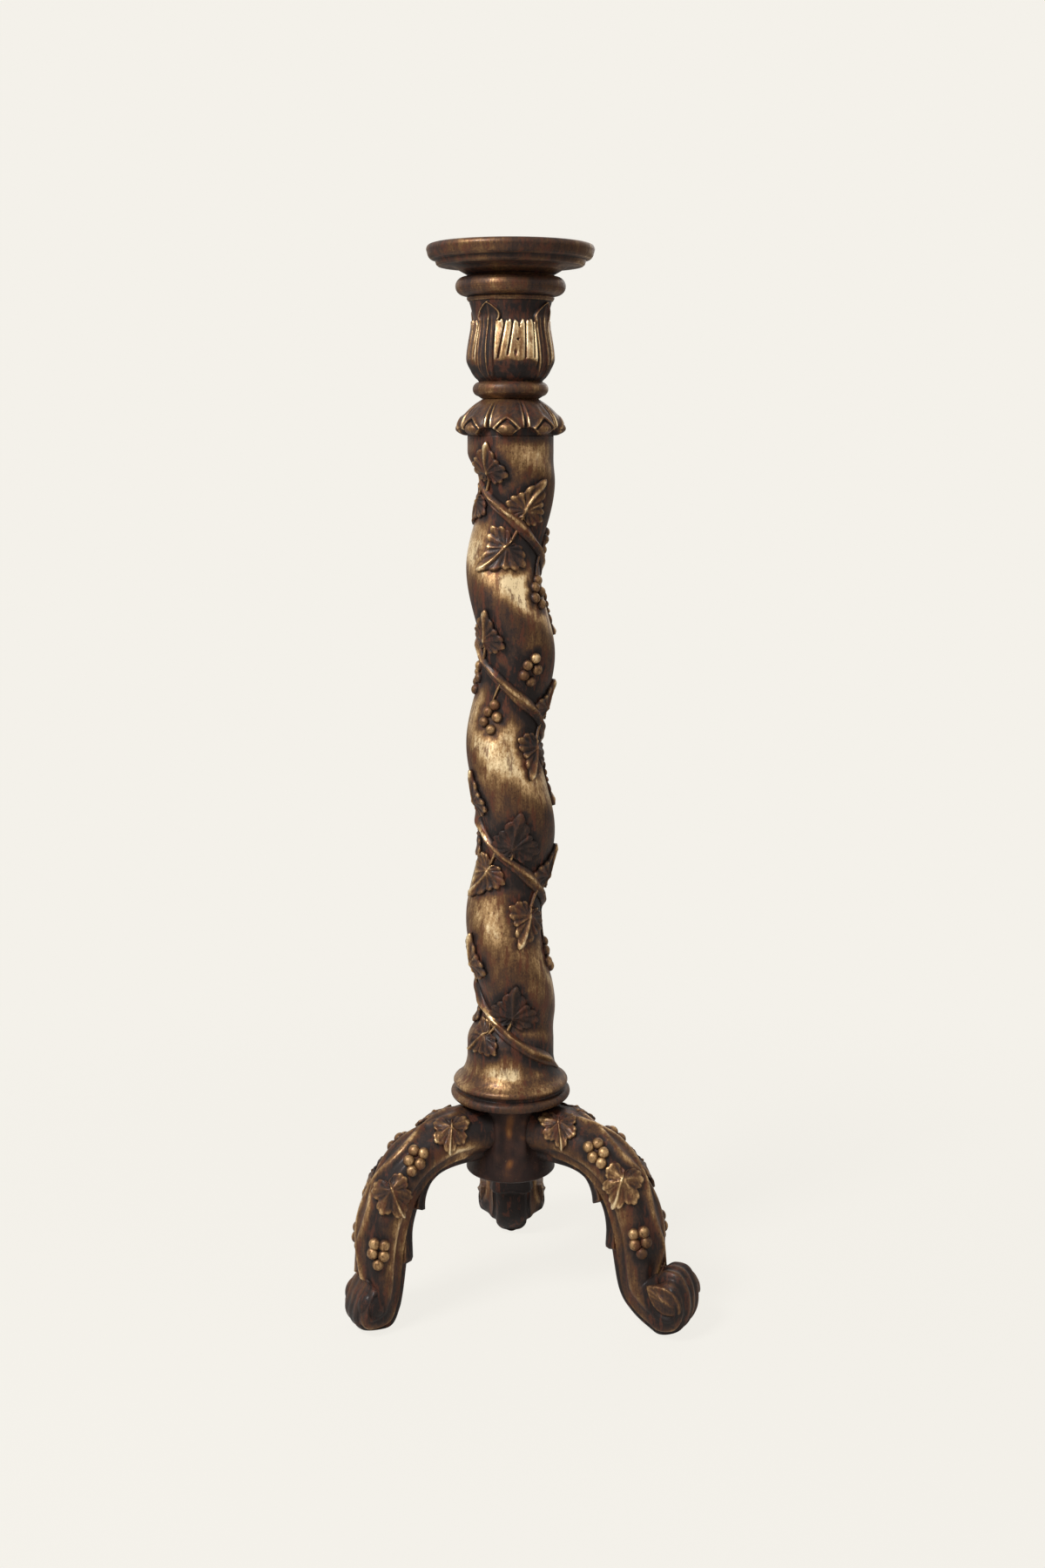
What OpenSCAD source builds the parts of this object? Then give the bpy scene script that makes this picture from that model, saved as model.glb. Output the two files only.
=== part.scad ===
// Torchere candle stand on three scrolled legs.
// Origin on the column's axis at floor level, +Z up, front towards -Y, millimetres.

/* [Dish] */
// Outer radius of the drip dish
dish_r = 97; // [90:1:115]
// Height of the dish, from its neck to its rim
dish_h = 37; // [34:1:44]
// Width of the raised rim around the recess
rim_w = 15; // [10:1:22]
// Depth of the candle recess
recess_depth = 10; // [8:1:14]

/* [Neck ring] */
// Outer radius of the neck ring
neck_r = 63.5; // [60:0.5:70]
// Height of the neck ring
neck_h = 28; // [26:1:34]

/* [Capital] */
// Radius of the carved cup at its belly
cup_r = 48.5; // [46:0.5:54]
// Height of the carved cup
cup_h = 92; // [84:1:110]
// Relief of the carved leaves on the cup
cup_relief = 2.6; // [1.5:0.1:4]

/* [Knop] */
// Outer radius of the knop ring
knop_r = 43.5; // [41:0.5:50]
// Height of the knop ring
knop_h = 20; // [18:1:26]

/* [Collar] */
// Reach of the collar's petal tips from the axis
petal_r = 64; // [61:0.5:72]
// Height of the collar
collar_h = 42; // [38:1:50]

/* [Column] */
// Length of the column between the base ring and the collar
column_h = 740; // [640:10:860]
// Radius of the plain ends of the column
column_r = 49.5; // [48:0.5:54]
// Radius of the round section inside the twist
twist_r = 42.5; // [40:0.5:46]
// How far the twist throws the section off the axis
twist_throw = 8.5; // [5:0.5:11]
// Height of one full turn of the twist
twist_pitch = 200; // [170:1:240]
// Radius of the flared foot of the column
flare_r = 65.5; // [63:0.5:70]

/* [Base ring] */
// Outer radius of the base ring
base_r = 68; // [66:0.5:76]
// Height of the base ring
base_h = 16; // [14:1:24]

/* [Hub] */
// Height of the hub's underside above the floor
hub_clear = 141; // [130:1:160]
// Height of the hub
hub_h = 88; // [84:1:98]
// Radius of the hub
hub_r = 45; // [43:0.5:50]
// How far the hub's foot spreads under the legs
hub_spread = 6; // [3:0.5:9]

/* [Legs] */
// Reach of the knee's outer ridge from the axis
knee_r = 187; // [176:1:206]
// Half of the leg's width at its side faces
leg_half_w = 30; // [26:0.5:33]
// Height of the right and back legs' scrolled feet
foot_h = 71; // [64:1:80]
// Height of the left leg's scrolled foot
left_foot_h = 64; // [60:1:76]
// Depth of the leg where it meets the hub
leg_depth = 63; // [54:1:68]
// Run of a foot from its sole out to its scroll
foot_run = 40; // [36:1:46]
// How far the right foot's scroll lies beyond its knee
right_kick = 42; // [30:1:50]
// How far the left foot's scroll lies beyond its knee
left_kick = 15; // [8:1:30]
// How far the back foot's scroll lies beyond its knee
back_kick = 26; // [14:1:36]

/* [Ornament] */
// Length of a vine leaf on the column
leaf_len = 50; // [40:1:56]
// Thickness of the leaves at their middle
leaf_t = 4; // [2.5:0.1:6]
// Radius of a grape
grape_r = 5.8; // [4.5:0.1:6.5]
// Width of the vine on the column
vine_w = 9; // [6:0.5:11]
// Height of the vine above the column
vine_t = 4.6; // [3:0.1:6]

/* [Joinery] */
// Diameter of the tie rod
rod_d = 10; // [8:1:12]
// Diameter of the dish's tenon
dish_tenon_d = 40; // [34:1:44]
// Diameter of the cup's tenon
cup_tenon_d = 34; // [28:1:38]
// Diameter of the column's top tenon
top_tenon_d = 40; // [32:1:46]
// Diameter of the column's bottom tenon
foot_tenon_d = 50; // [42:1:56]
// Diameter of the leg dowels
dowel_d = 12; // [8:1:14]
// Length of the leg dowels
dowel_len = 50; // [42:1:56]
// Clearance all round a tenon or a dowel
fit = 0.2; // [0.1:0.05:0.4]
// Clearance all round the tie rod
rod_gap = 1; // [0.5:0.1:1.5]

/* [Hidden] */

// Levels up the stand, each piece standing on the one below
hub_top = hub_clear + hub_h;
column_z = hub_top + base_h;
column_top = column_z + column_h;
knop_z = column_top + collar_h;
cup_z = knop_z + knop_h;
neck_z = cup_z + cup_h;
dish_z = neck_z + neck_h;
rim_z = dish_z + dish_h;

// Tenons and their sockets
tenon_end_gap = 1;
cup_tenon_len = knop_h + 9;
top_tenon_len = 17;
foot_tenon_len = base_h + 14;
dish_tenon_len = neck_h + 12;

// Tie rod, nuts and washers, in the proportions of common metric hardware
rod_bore_d = rod_d + 2 * rod_gap;
nut_w = 1.7 * rod_d;
nut_h = 0.8 * rod_d;
washer_d = 2 * rod_d;
washer_t = 0.2 * rod_d;
counterbore_d = washer_d + 4;
counterbore_h = washer_t + nut_h + 10;
rod_stub = 4;
low_seat_z = hub_clear + counterbore_h;
high_seat_z = neck_z - (dish_tenon_len - neck_h) - counterbore_h;

// Leg directions and dowel rows
right_az = -26.5;
left_az = 206.5;
back_az = 90;
crown_drop = 2.2;
leg_top = hub_top - crown_drop;
arch_h = leg_top - leg_depth;
dowel_levels = [arch_h + 15, leg_top - 16];
dowel_start = foot_tenon_d / 2 + 4;
saddle_gap = 0.1;

// Colours, as they show on the stand
gilt = "#8c6f3c";
gilt_light = "#b8975a";
bole = "#4c3426";
steel = "#8b8d90";
beech = "#b98d5c";

round_fn = 96;
// How far the backs of the castings lie off the wood
seat_gap = 0.8;
vine_gap = 0.9;

// ---- Small functions ----

function unit(v) = v / norm(v);
function mix(a, b, t) = a + (b - a) * t;
function clamp01(t) = min(1, max(0, t));
function ease(t) = let (c = clamp01(t)) c * c * (3 - 2 * c);

// Smooth curve through the rows of a list; t runs from 0 to the last row's index
function row(list, i) = list[min(len(list) - 1, max(0, i))];
function curve(list, t) =
    let (
        i = min(len(list) - 2, max(0, floor(t))),
        f = t - i,
        p0 = row(list, i - 1), p1 = row(list, i),
        p2 = row(list, i + 1), p3 = row(list, i + 2)
    )
    0.5 * (2 * p1 + (p2 - p0) * f + (2 * p0 - 5 * p1 + 4 * p2 - p3) * f * f
        + (3 * p1 - 3 * p2 + p3 - p0) * f * f * f);

// Outward normal of a surface f(a, b) whose parameters step by ha and hb
function normal_at(f, a, b, ha, hb) =
    unit(cross(f(a + ha, b) - f(a - ha, b), f(a, b + hb) - f(a, b - hb)));

// A closed skin over rings of points, with a flat face at each end
module skin(rings) {
    n = len(rings[0]);
    m = len(rings);
    points = [for (r = rings) each r];
    sides = [
        for (j = [0:m - 2], i = [0:n - 1])
            let (a = j * n + i, b = j * n + (i + 1) % n)
                each [[a, b + n, b], [a, a + n, b + n]]
    ];
    polyhedron(
        points = points,
        faces = concat(sides, [[for (i = [0:n - 1]) i]], [[for (i = [n - 1:-1:0]) (m - 1) * n + i]])
    );
}

// ---- Turned pieces ----

module turned(points) {
    rotate_extrude($fn = round_fn) polygon(points);
}

// Half-round edge of a turned piece: points on an arc about (cx, cz)
function arc(cx, cz, r, from, to, steps = 8) =
    [for (i = [0:steps]) let (a = mix(from, to, i / steps)) [cx + r * cos(a), cz + r * sin(a)]];

module dish() {
    lip_r = 5.5;
    recess_r = dish_r - rim_w;
    color(gilt) difference() {
        union() {
            turned(concat(
                [[0, dish_z]],
                [[dish_r - 47, dish_z], [dish_r - 45, dish_z + 3]],
                arc(dish_r - 27, dish_z - 3, 15, 132, 76, 6),
                [[dish_r - 13, dish_z + 12.5], [dish_r - 11, dish_z + 14]],
                [[dish_r - 10, dish_z + 19], [dish_r - 8.5, dish_z + 19.5]],
                arc(dish_r - 10, rim_z - 9.5, 9, -58, -18, 4),
                arc(dish_r - lip_r, rim_z - lip_r, lip_r, -10, 90),
                [[recess_r + 4, rim_z], [recess_r, rim_z - 3]],
                [[recess_r, rim_z - recess_depth], [0, rim_z - recess_depth]]
            ));
            translate([0, 0, dish_z - dish_tenon_len])
                cylinder(h = dish_tenon_len + 5, d = dish_tenon_d, $fn = round_fn);
        }
    }
}

module neck_ring() {
    bead_r = 0.39 * neck_h;
    bead_z = dish_z - bead_r;
    color(gilt) difference() {
        turned(concat(
            [[0, neck_z], [neck_r - 14, neck_z], [neck_r - 13.5, neck_z + 3], [neck_r - 11, neck_z + 5.5]],
            arc(neck_r - bead_r, bead_z, bead_r, -80, 80, 12),
            [[neck_r - bead_r - 1, dish_z], [0, dish_z]]
        ));
        translate([0, 0, neck_z - 1])
            cylinder(h = neck_h + 2, d = dish_tenon_d + 2 * fit, $fn = round_fn);
    }
}

module knop_ring() {
    color(gilt_light) difference() {
        turned(concat(
            [[0, knop_z], [knop_r - 11, knop_z]],
            arc(knop_r - 0.42 * knop_h, knop_z + 0.56 * knop_h, 0.42 * knop_h, -76, 84, 12),
            [[knop_r - 6, cup_z], [0, cup_z]]
        ));
        translate([0, 0, knop_z - 1])
            cylinder(h = knop_h + 2, d = cup_tenon_d + 2 * fit, $fn = round_fn);
    }
}

module base_ring() {
    color(gilt) difference() {
        turned(concat(
            [[0, hub_top], [base_r - 4, hub_top], [base_r - 1, hub_top + 0.15 * base_h]],
            [[base_r, hub_top + 0.35 * base_h], [base_r - 0.7, hub_top + 0.55 * base_h]],
            [[base_r - 2.6, hub_top + 0.62 * base_h], [base_r - 2.8, column_z - 3]],
            arc(base_r - 4, column_z - 1.6, 1.6, -20, 90, 5),
            [[0, column_z]]
        ));
        translate([0, 0, hub_top - 1])
            cylinder(h = base_h + 2, d = foot_tenon_d + 2 * fit, $fn = round_fn);
    }
}

module hub() {
    lip_r = hub_r - 12;
    spread_r = hub_r + hub_spread;
    spread_z = arch_h - 3;
    socket_h = foot_tenon_len - base_h + tenon_end_gap;
    color(bole) difference() {
        turned([
            [0, hub_clear], [lip_r - 2, hub_clear], [lip_r, hub_clear + 2],
            [lip_r + 2, hub_clear + 4], [spread_r - 2, hub_clear + 5], [spread_r, hub_clear + 7],
            [spread_r, spread_z - hub_spread], [hub_r, spread_z], [hub_r, hub_top], [0, hub_top],
        ]);
        translate([0, 0, hub_clear - 1]) cylinder(h = hub_h + 2, d = rod_bore_d, $fn = round_fn);
        translate([0, 0, hub_top - socket_h])
            cylinder(h = socket_h + 1, d = foot_tenon_d + 2 * fit, $fn = round_fn);
        translate([0, 0, hub_clear - 1])
            cylinder(h = counterbore_h + 1, d = counterbore_d, $fn = round_fn);
        for (az = [right_az, left_az, back_az]) dowel_pair(az, fit, tenon_end_gap);
    }
}

// ---- Capital ----

// Profile of the cup: rows of share of the height and share of the belly's radius
cup_rows = [
    [0, 0.78], [0.05, 0.85], [0.11, 0.92], [0.19, 0.99], [0.3, 1.02], [0.42, 1.01],
    [0.55, 0.97], [0.68, 0.93], [0.8, 0.925], [0.9, 0.96], [1, 1.01],
];
tall_leaf_az = -123;
cup_leaves = 4;

// Relief of the carving, from the height share v and the bearing a
function tall_leaf(a, v) =
    let (
        step = 360 / cup_leaves,
        off = abs((a - tall_leaf_az + 720 + step / 2) % step - step / 2),
        half = 27 * sqrt(clamp01((0.985 - v) / 0.22)) * (0.72 + 0.28 * ease(v / 0.3))
    )
    v < 0.07 ? 0 : ease((half - off) / 5) * (0.8 + 0.2 * cos(40 * off));

function short_leaf(a, v) =
    let (
        step = 360 / cup_leaves,
        off = abs((a - tall_leaf_az + 720) % step - step / 2),
        top = 0.76 - 0.05 * abs(sin(off * 9))
    )
    0.85 * ease((24 - off) / 4) * ease((top - v) / 0.04) * ease((v - 0.2) / 0.08);

function cup_point(a, v) =
    let (
        at = lookup(v, [for (i = [0:len(cup_rows) - 1]) [cup_rows[i][0], i]]),
        base = curve(cup_rows, at)[1] * cup_r - 0.5 * cup_relief,
        r = base + cup_relief * max(tall_leaf(a, v), short_leaf(a, v))
    )
    [r * cos(a), r * sin(a), cup_z + v * cup_h];

module capital() {
    around = 72;
    up = 20;
    color(gilt) difference() {
        union() {
            skin([
                for (j = [0:up]) [for (i = [0:around - 1]) cup_point(360 * i / around, j / up)]
            ]);
            translate([0, 0, cup_z - cup_tenon_len])
                cylinder(h = cup_tenon_len + 5, d = cup_tenon_d, $fn = round_fn);
        }
        translate([0, 0, cup_z - cup_tenon_len - 1])
            cylinder(h = cup_tenon_len + cup_h, d = rod_bore_d, $fn = round_fn);
        translate([0, 0, high_seat_z])
            cylinder(h = cup_h, d = counterbore_d, $fn = round_fn);
        translate([0, 0, neck_z - (dish_tenon_len - neck_h) - tenon_end_gap])
            cylinder(h = cup_h, d = dish_tenon_d + 2 * fit, $fn = round_fn);
    }
}

// ---- Collar ----

petals = 8;
petal_az = -94;
// Rows: share of the height, radius between petals, radius on a petal, both as shares of the reach
collar_rows = [
    [1, 0.5, 0.5], [0.95, 0.54, 0.56], [0.84, 0.63, 0.67], [0.72, 0.7, 0.77], [0.58, 0.76, 0.84],
    [0.46, 0.795, 0.9], [0.36, 0.81, 0.97], [0.26, 0.815, 1], [0.16, 0.81, 0.99],
    [0.08, 0.8, 0.94], [0.02, 0.785, 0.86], [0, 0.78, 0.79],
];

function collar_point(a, t) =
    let (
        step = 360 / petals,
        off = abs((a - petal_az + 720 + step / 2) % step - step / 2) / (step / 2),
        on = pow(clamp01(1 - off * off), 0.7),
        r = curve(collar_rows, t),
        radius = petal_r * mix(r[1], r[2], on)
    )
    [radius * cos(a), radius * sin(a), column_top + r[0] * collar_h];

module collar() {
    around = 64;
    last = len(collar_rows) - 1;
    socket_h = cup_tenon_len - knop_h + tenon_end_gap;
    color(gilt) difference() {
        skin([
            for (j = [last:-1:0]) [for (i = [0:around - 1]) collar_point(360 * i / around, j)]
        ]);
        translate([0, 0, column_top - 1])
            cylinder(h = collar_h + 2, d = rod_bore_d, $fn = round_fn);
        translate([0, 0, knop_z - socket_h])
            cylinder(h = socket_h + 1, d = cup_tenon_d + 2 * fit, $fn = round_fn);
        translate([0, 0, column_top - 1])
            cylinder(h = top_tenon_len + tenon_end_gap + 1, d = top_tenon_d + 2 * fit, $fn = round_fn);
    }
}

// ---- Column ----

// Height of the flare at the foot of the column, the plain runs above it and below the collar,
// and the runs over which the twist fades
flare_h = 30;
plain_low = 18;
plain_high = 17;
fade_low = 34;
fade_high = 36;
// The twist leans to the right at this depth below the collar
first_crest = 52;

function twist_share(z) =
    ease((z - column_z - flare_h - plain_low) / fade_low) * ease((column_top - plain_high - z) / fade_high);
function crest_az(z) = 360 * (column_top - first_crest - z) / twist_pitch;

// The vine lies across the valley of the twist, further round at the foot than at the top
vine_lead_low = 47;
vine_lead_high = 10;
function vine_az(z) =
    crest_az(z) + 180 + mix(vine_lead_low, vine_lead_high, (z - column_z) / column_h);

// Rows: share of the flare's height, share of its spread
flare_rows = [
    [0, 0.985], [0.13, 0.99], [0.23, 0.93], [0.36, 0.6], [0.52, 0.32], [0.72, 0.12], [1, 0], [1.2, 0],
];
function flare_share(z) =
    let (v = (z - column_z) / flare_h)
    v >= 1 ? 0 : curve([for (r = flare_rows) r[1]], lookup(v, [for (i = [0:7]) [flare_rows[i][0], i]]));

// Point of the column's surface at bearing a and height z
function column_point(a, z) =
    let (
        s = twist_share(z),
        throw = twist_throw * s,
        r = mix(column_r, twist_r, s),
        off = a - crest_az(z),
        body = throw * cos(off) + sqrt(r * r - pow(throw * sin(off), 2)),
        radius = body + (flare_r - column_r) * flare_share(z)
    )
    [radius * cos(a), radius * sin(a), z];

column_face = function (a, z) column_point(a, z);

module column() {
    around = 32;
    levels = concat(
        [for (r = [0:5]) column_z + flare_h * flare_rows[r][0]],
        [for (i = [0:54]) mix(column_z + flare_h, column_top, i / 54)]
    );
    color(gilt) difference() {
        union() {
            skin([for (z = levels) [for (i = [0:around - 1]) column_point(360 * i / around, z)]]);
            translate([0, 0, column_z - foot_tenon_len])
                cylinder(h = foot_tenon_len + 5, d = foot_tenon_d, $fn = round_fn);
            translate([0, 0, column_top - 5])
                cylinder(h = top_tenon_len + 5, d = top_tenon_d, $fn = round_fn);
        }
        translate([0, 0, column_z - foot_tenon_len - 1])
            cylinder(h = foot_tenon_len + column_h + top_tenon_len + 2, d = rod_bore_d, $fn = round_fn);
    }
}

// ---- Applied ornament ----

// Outline of a three-lobed vine leaf: shares of its length by bearing from the tip, round a
// middle that lies nearer the stalk
leaf_points = 20;
leaf_mid = 0.14;
leaf_edge = [
    [0, 0.68], [18, 0.52], [36, 0.42], [54, 0.43], [72, 0.49], [90, 0.52],
    [108, 0.45], [126, 0.38], [144, 0.32], [162, 0.25], [180, 0.2],
];
// Height share of the leaf's face: 1 at the middle, less at the edge, ridged along the lobes
function leaf_height(t, share) = (1 - 0.6 * share * share) * (0.88 + 0.12 * cos(5 * t));

// A leaf on a surface: its middle at (a, b), turned by tilt, its back seat_gap off the surface
module leaf(face_at, a, b, ha, hb, length, tilt, thick) {
    ka = norm(face_at(a + ha, b) - face_at(a - ha, b)) / (2 * ha);
    kb = norm(face_at(a, b + hb) - face_at(a, b - hb)) / (2 * hb);
    shares = [0.55, 1];
    ma = a - leaf_mid * length * sin(tilt) / ka;
    mb = b + leaf_mid * length * cos(tilt) / kb;
    function at(t, share, lift) =
        let (
            d = length * lookup(abs(t), leaf_edge) * share,
            pa = ma + d * sin(t + tilt) / ka,
            pb = mb - d * cos(t + tilt) / kb
        )
        face_at(pa, pb) + normal_at(face_at, pa, pb, ha, hb) * lift;
    turns = [for (i = [0:leaf_points - 1]) 360 * i / leaf_points - 180];
    front = [for (s = shares) [for (t = turns) at(t, s, seat_gap + thick * leaf_height(t, s))]];
    back = [for (s = shares) [for (t = turns) at(t, s, seat_gap)]];
    n = leaf_points;
    points = concat(
        [at(0, 0, seat_gap + thick)], front[0], front[1], back[1], back[0], [at(0, 0, seat_gap)]
    );
    last = 4 * n + 1;
    faces = [
        for (i = [0:n - 1])
            let (j = (i + 1) % n)
                each concat(
                    [[0, 1 + j, 1 + i], [last, last - n + i, last - n + j]],
                    [
                        for (k = [0:2])
                            let (p = 1 + k * n)
                                each [[p + i, p + j, p + n + i], [p + j, p + n + j, p + n + i]]
                    ]
                )
    ];
    polyhedron(points = points, faces = faces);
}

// A grape: a dome whose flat back lies at lift off the surface at (a, b)
module grape(face_at, a, b, ha, hb, r, lift) {
    n = normal_at(face_at, a, b, ha, hb);
    translate(face_at(a, b) + n * lift)
        rotate([0, acos(n[2]), atan2(n[1], n[0])])
            rotate_extrude($fn = 32) intersection() {
                circle(r = r, $fn = 32);
                square(r + 1);
            }
}

// A bunch hangs in staggered rows; each offset is across and down, in grape radii
bunch = [[0.6, -2.4], [-0.8, -1], [1.3, 0], [-1.3, 1.1], [0.3, 2.5]];
module grapes(face_at, a, b, ha, hb, r, lift = 0.1) {
    ka = norm(face_at(a + ha, b) - face_at(a - ha, b)) / (2 * ha);
    kb = norm(face_at(a, b + hb) - face_at(a, b - hb)) / (2 * hb);
    for (g = bunch)
        grape(face_at, a + 1.08 * g[0] * r / ka, b - 1.08 * g[1] * r / kb, ha, hb, r, lift);
}

// Leaves of the column: share of its length, bearing from the vine, length share, tilt
column_leaf_rows = [
    [0.959, 83, 0.96, 174], [0.935, -95, 0.9, -40], [0.899, 69, 1, 155], [0.889, -73, 1, -40],
    [0.818, -95, 1.1, -48], [0.8, 76, 1, 170], [0.723, -95, 1, -25], [0.702, 86, 1, 168],
    [0.672, -95, 1, -30], [0.591, 62, 0.9, 165], [0.507, -98, 1, -23],
    [0.46, -95, 1, -30], [0.451, 76, 1, 170], [0.388, 64, 1.1, 172], [0.365, -95, 1, -35],
    [0.334, 67, 1, 165], [0.321, -90, 1, -33], [0.292, 75, 1, 165], [0.251, -104, 1, -25],
    [0.245, 75, 1, 175], [0.204, 100, 1, 170], [0.146, -95, 1, -35], [0.131, 68, 1.05, 174],
    [0.102, -95, 0.95, -30], [0.075, -60, 0.85, -50],
];

module column_leaves() {
    color(gilt_light) for (r = column_leaf_rows) {
        z = column_z + r[0] * column_h;
        leaf(column_face, vine_az(z) + r[1], z, 1, 1, leaf_len * r[2], r[3], leaf_t);
    }
}

// Bunches of the column: share of its length and bearing from the vine
column_bunch_rows = [
    [0.831, 50], [0.76, -107], [0.643, 77], [0.625, -75], [0.57, -90],
    [0.555, 75], [0.507, 75], [0.409, -95], [0.198, -122],
];

module column_grapes() {
    color(gilt_light) for (r = column_bunch_rows) {
        z = column_z + r[0] * column_h;
        grapes(column_face, vine_az(z) + r[1], z, 1, 1, grape_r);
    }
}

// Section of the vine: two strands with a groove between them
vine_section = [
    [-0.5, 0], [-0.46, 0.55], [-0.26, 1], [0, 0.72], [0.26, 1], [0.46, 0.55], [0.5, 0], [0, 0],
];
vine_low = 16;
vine_high = 45;

module column_vine() {
    turns = 72;
    color(gilt_light) skin([
        for (i = [0:turns])
            let (
                z = mix(column_z + vine_low, column_top - vine_high, i / turns),
                a = vine_az(z),
                k = norm(column_point(a + 1, z) - column_point(a - 1, z)) / 2,
                n = normal_at(column_face, a, z, 1, 1),
                rise = atan2(twist_pitch, 360 * k),
                taper = 0.6 + 0.4 * ease(min(i, turns - i) / 3)
            )
            [
                for (s = vine_section)
                    let (
                        q = s[0] * vine_w * taper,
                        pa = a + q * sin(rise) / k,
                        pz = z + q * cos(rise)
                    )
                    column_point(pa, pz) + n * (vine_gap + s[1] * vine_t * taper)
            ]
    ]);
}

// ---- Legs ----

// Arch of a leg in its own plane. Rows: under side reach and height, upper side reach and
// height, half width. Reaches are shares of the knee's; heights are shares of the arch's
// underside and of the leg's top; widths are shares of the leg's.
arch_rows = [
    [0.15, 1, 0.15, 1, 1.1], [0.35, 0.997, 0.37, 0.98, 1.06], [0.48, 0.97, 0.56, 0.93, 1],
    [0.57, 0.91, 0.73, 0.855, 1], [0.64, 0.81, 0.865, 0.74, 1], [0.685, 0.665, 0.955, 0.59, 1],
    [0.715, 0.51, 0.995, 0.45, 1],
];
// Foot of a leg. Rows: under side as a place along it, from the heel at 0 to the sole at 1 and
// the scroll's reach at 2, then as a share of the foot's height, and the half width as a share
// of the leg's. The upper side stays near the throat of the scroll.
foot_rows = [
    [0.05, 0.58, 1.02], [0.36, 0.27, 1.06], [0.75, 0.06, 1.1], [1.05, -0.012, 1.1], [1.55, 0.12, 1.12],
    [1.96, 0.4, 1.1], [1.96, 0.73, 1.02], [1.62, 0.98, 0.85],
];
heel = 0.75;
throat = 0.93;
knee_inset = 1;
// The section rounds off from the shaft down to the foot
function foot_round(i) = 0.9 * ease((i + 1) / 3);

// Rows of one leg: under side, upper side, half width, roundness
function leg_rows(kick, scroll_h) = let (reach = knee_r + kick, sole = reach - foot_run) concat(
    [
        for (r = arch_rows)
            [r[0] * knee_r, r[1] * arch_h, r[2] * knee_r, r[3] * leg_top, r[4] * leg_half_w, 0]
    ],
    [
        for (i = [0:len(foot_rows) - 1])
            let (
                r = foot_rows[i],
                along = r[0] < 1 ? mix(heel * knee_r, sole, r[0]) : mix(sole, reach, r[0] - 1),
                throat_u = mix(knee_r - knee_inset, mix(sole, reach, 0.35), i / 7)
            )
            [
                along, r[1] * scroll_h,
                throat_u, scroll_h * (throat + 0.06 * pow(i / 3.5 - 1, 2)),
                r[2] * leg_half_w, foot_round(i)
            ]
    ]
);

// Half of the leg's section, from the middle of the under side round to the upper ridge:
// share of the half width, share of the depth
leg_section = [
    [0, 0], [0.36, 0.012], [0.64, 0.055], [0.84, 0.125], [0.95, 0.2], [1, 0.42], [0.98, 0.68],
    [0.78, 0.89], [0.34, 0.955], [0.16, 1.015], [0, 1.03],
];
function leg_section_at(w, roundness) =
    let (
        c = abs(w),
        p = curve(leg_section, c > 10 ? 20 - c : c),
        side = (w < 0 ? -1 : 1) * (c > 10 ? -1 : 1),
        turn = 18 * w
    )
    mix([p[0] * side, p[1]], [sin(turn), (1 - cos(turn)) / 2], roundness);

// Point of a leg's surface: t counts rows along it, w counts section points round one side
function leg_point(rows, t, w) =
    let (
        r = curve(rows, t),
        s = leg_section_at(w, r[5])
    )
    [mix(r[0], r[2], s[1]), s[0] * r[4], max(0, mix(r[1], r[3], s[1]))];

leg_last = len(arch_rows) + len(foot_rows) - 1;

module leg(az, kick, scroll_h) {
    rows = leg_rows(kick, scroll_h);
    steps = 3;
    color(gilt) rotate([0, 0, az]) difference() {
        skin([
            for (j = [0:leg_last * steps])
                [for (w = [-10:9]) leg_point(rows, j / steps, w)]
        ]);
        cylinder(h = 2 * hub_top, r = hub_r + saddle_gap, center = true, $fn = round_fn);
        dowel_pair(0, fit, tenon_end_gap);
    }
}

module dowel_pair(az, gap, end_gap) {
    rotate([0, 0, az]) for (z = dowel_levels)
        translate([dowel_start - end_gap, 0, z]) rotate([0, 90, 0])
            cylinder(h = dowel_len + 2 * end_gap, d = dowel_d + 2 * gap, $fn = 48);
}

module leg_dowels() {
    color(beech) for (az = [right_az, left_az, back_az]) dowel_pair(az, 0, 0);
}

// Leaves of a leg, on both of its sides: row along it, place on its side, length share, tilt.
// Each leg's ornament lies a little further along, by its own shift in rows.
right_shift = 0;
left_shift = 0.35;
back_shift = 0.15;
leg_leaf_rows = [[1.35, 6.1, 0.82, 150], [4.05, 6.4, 0.96, 170]];
leg_bunch_rows = [[2.65, 6.4], [5.9, 6]];
// The bunches sink a little into the legs' rounded sides
leg_grape_lift = -0.25;
// The leaf on a foot's roll is thicker, and as long as the foot's run allows: row, place, tilt
foot_leaf = [10.2, 6, 10];
foot_leaf_len = 0.875 * foot_run;
foot_leaf_t = 1.5 * leaf_t;

module leg_leaves(az, kick, scroll_h, shift) {
    rows = leg_rows(kick, scroll_h);
    face_at = function (a, b) leg_point(rows, b, a);
    color(gilt_light) rotate([0, 0, az]) for (side = [-1, 1]) mirror([0, side < 0 ? 1 : 0, 0]) {
        for (r = leg_leaf_rows)
            leaf(face_at, r[1], r[0] + shift, 0.1, 0.1, leaf_len * r[2], r[3], leaf_t);
        leaf(face_at, foot_leaf[1], foot_leaf[0], 0.1, 0.1, foot_leaf_len, foot_leaf[2], foot_leaf_t);
    }
}

module leg_grapes(az, kick, scroll_h, shift) {
    rows = leg_rows(kick, scroll_h);
    face_at = function (a, b) leg_point(rows, b, a);
    color(gilt_light) rotate([0, 0, az]) for (r = leg_bunch_rows) for (side = [-1, 1])
        mirror([0, side < 0 ? 1 : 0, 0])
            grapes(face_at, r[1], r[0] + shift, 0.1, 0.1, grape_r, leg_grape_lift);
}

// ---- Tie rod ----

module tie_rod() {
    low = low_seat_z - washer_t - nut_h - rod_stub;
    high = high_seat_z + washer_t + nut_h + rod_stub;
    color(steel) translate([0, 0, low]) cylinder(h = high - low, d = rod_d, $fn = 48);
}

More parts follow.
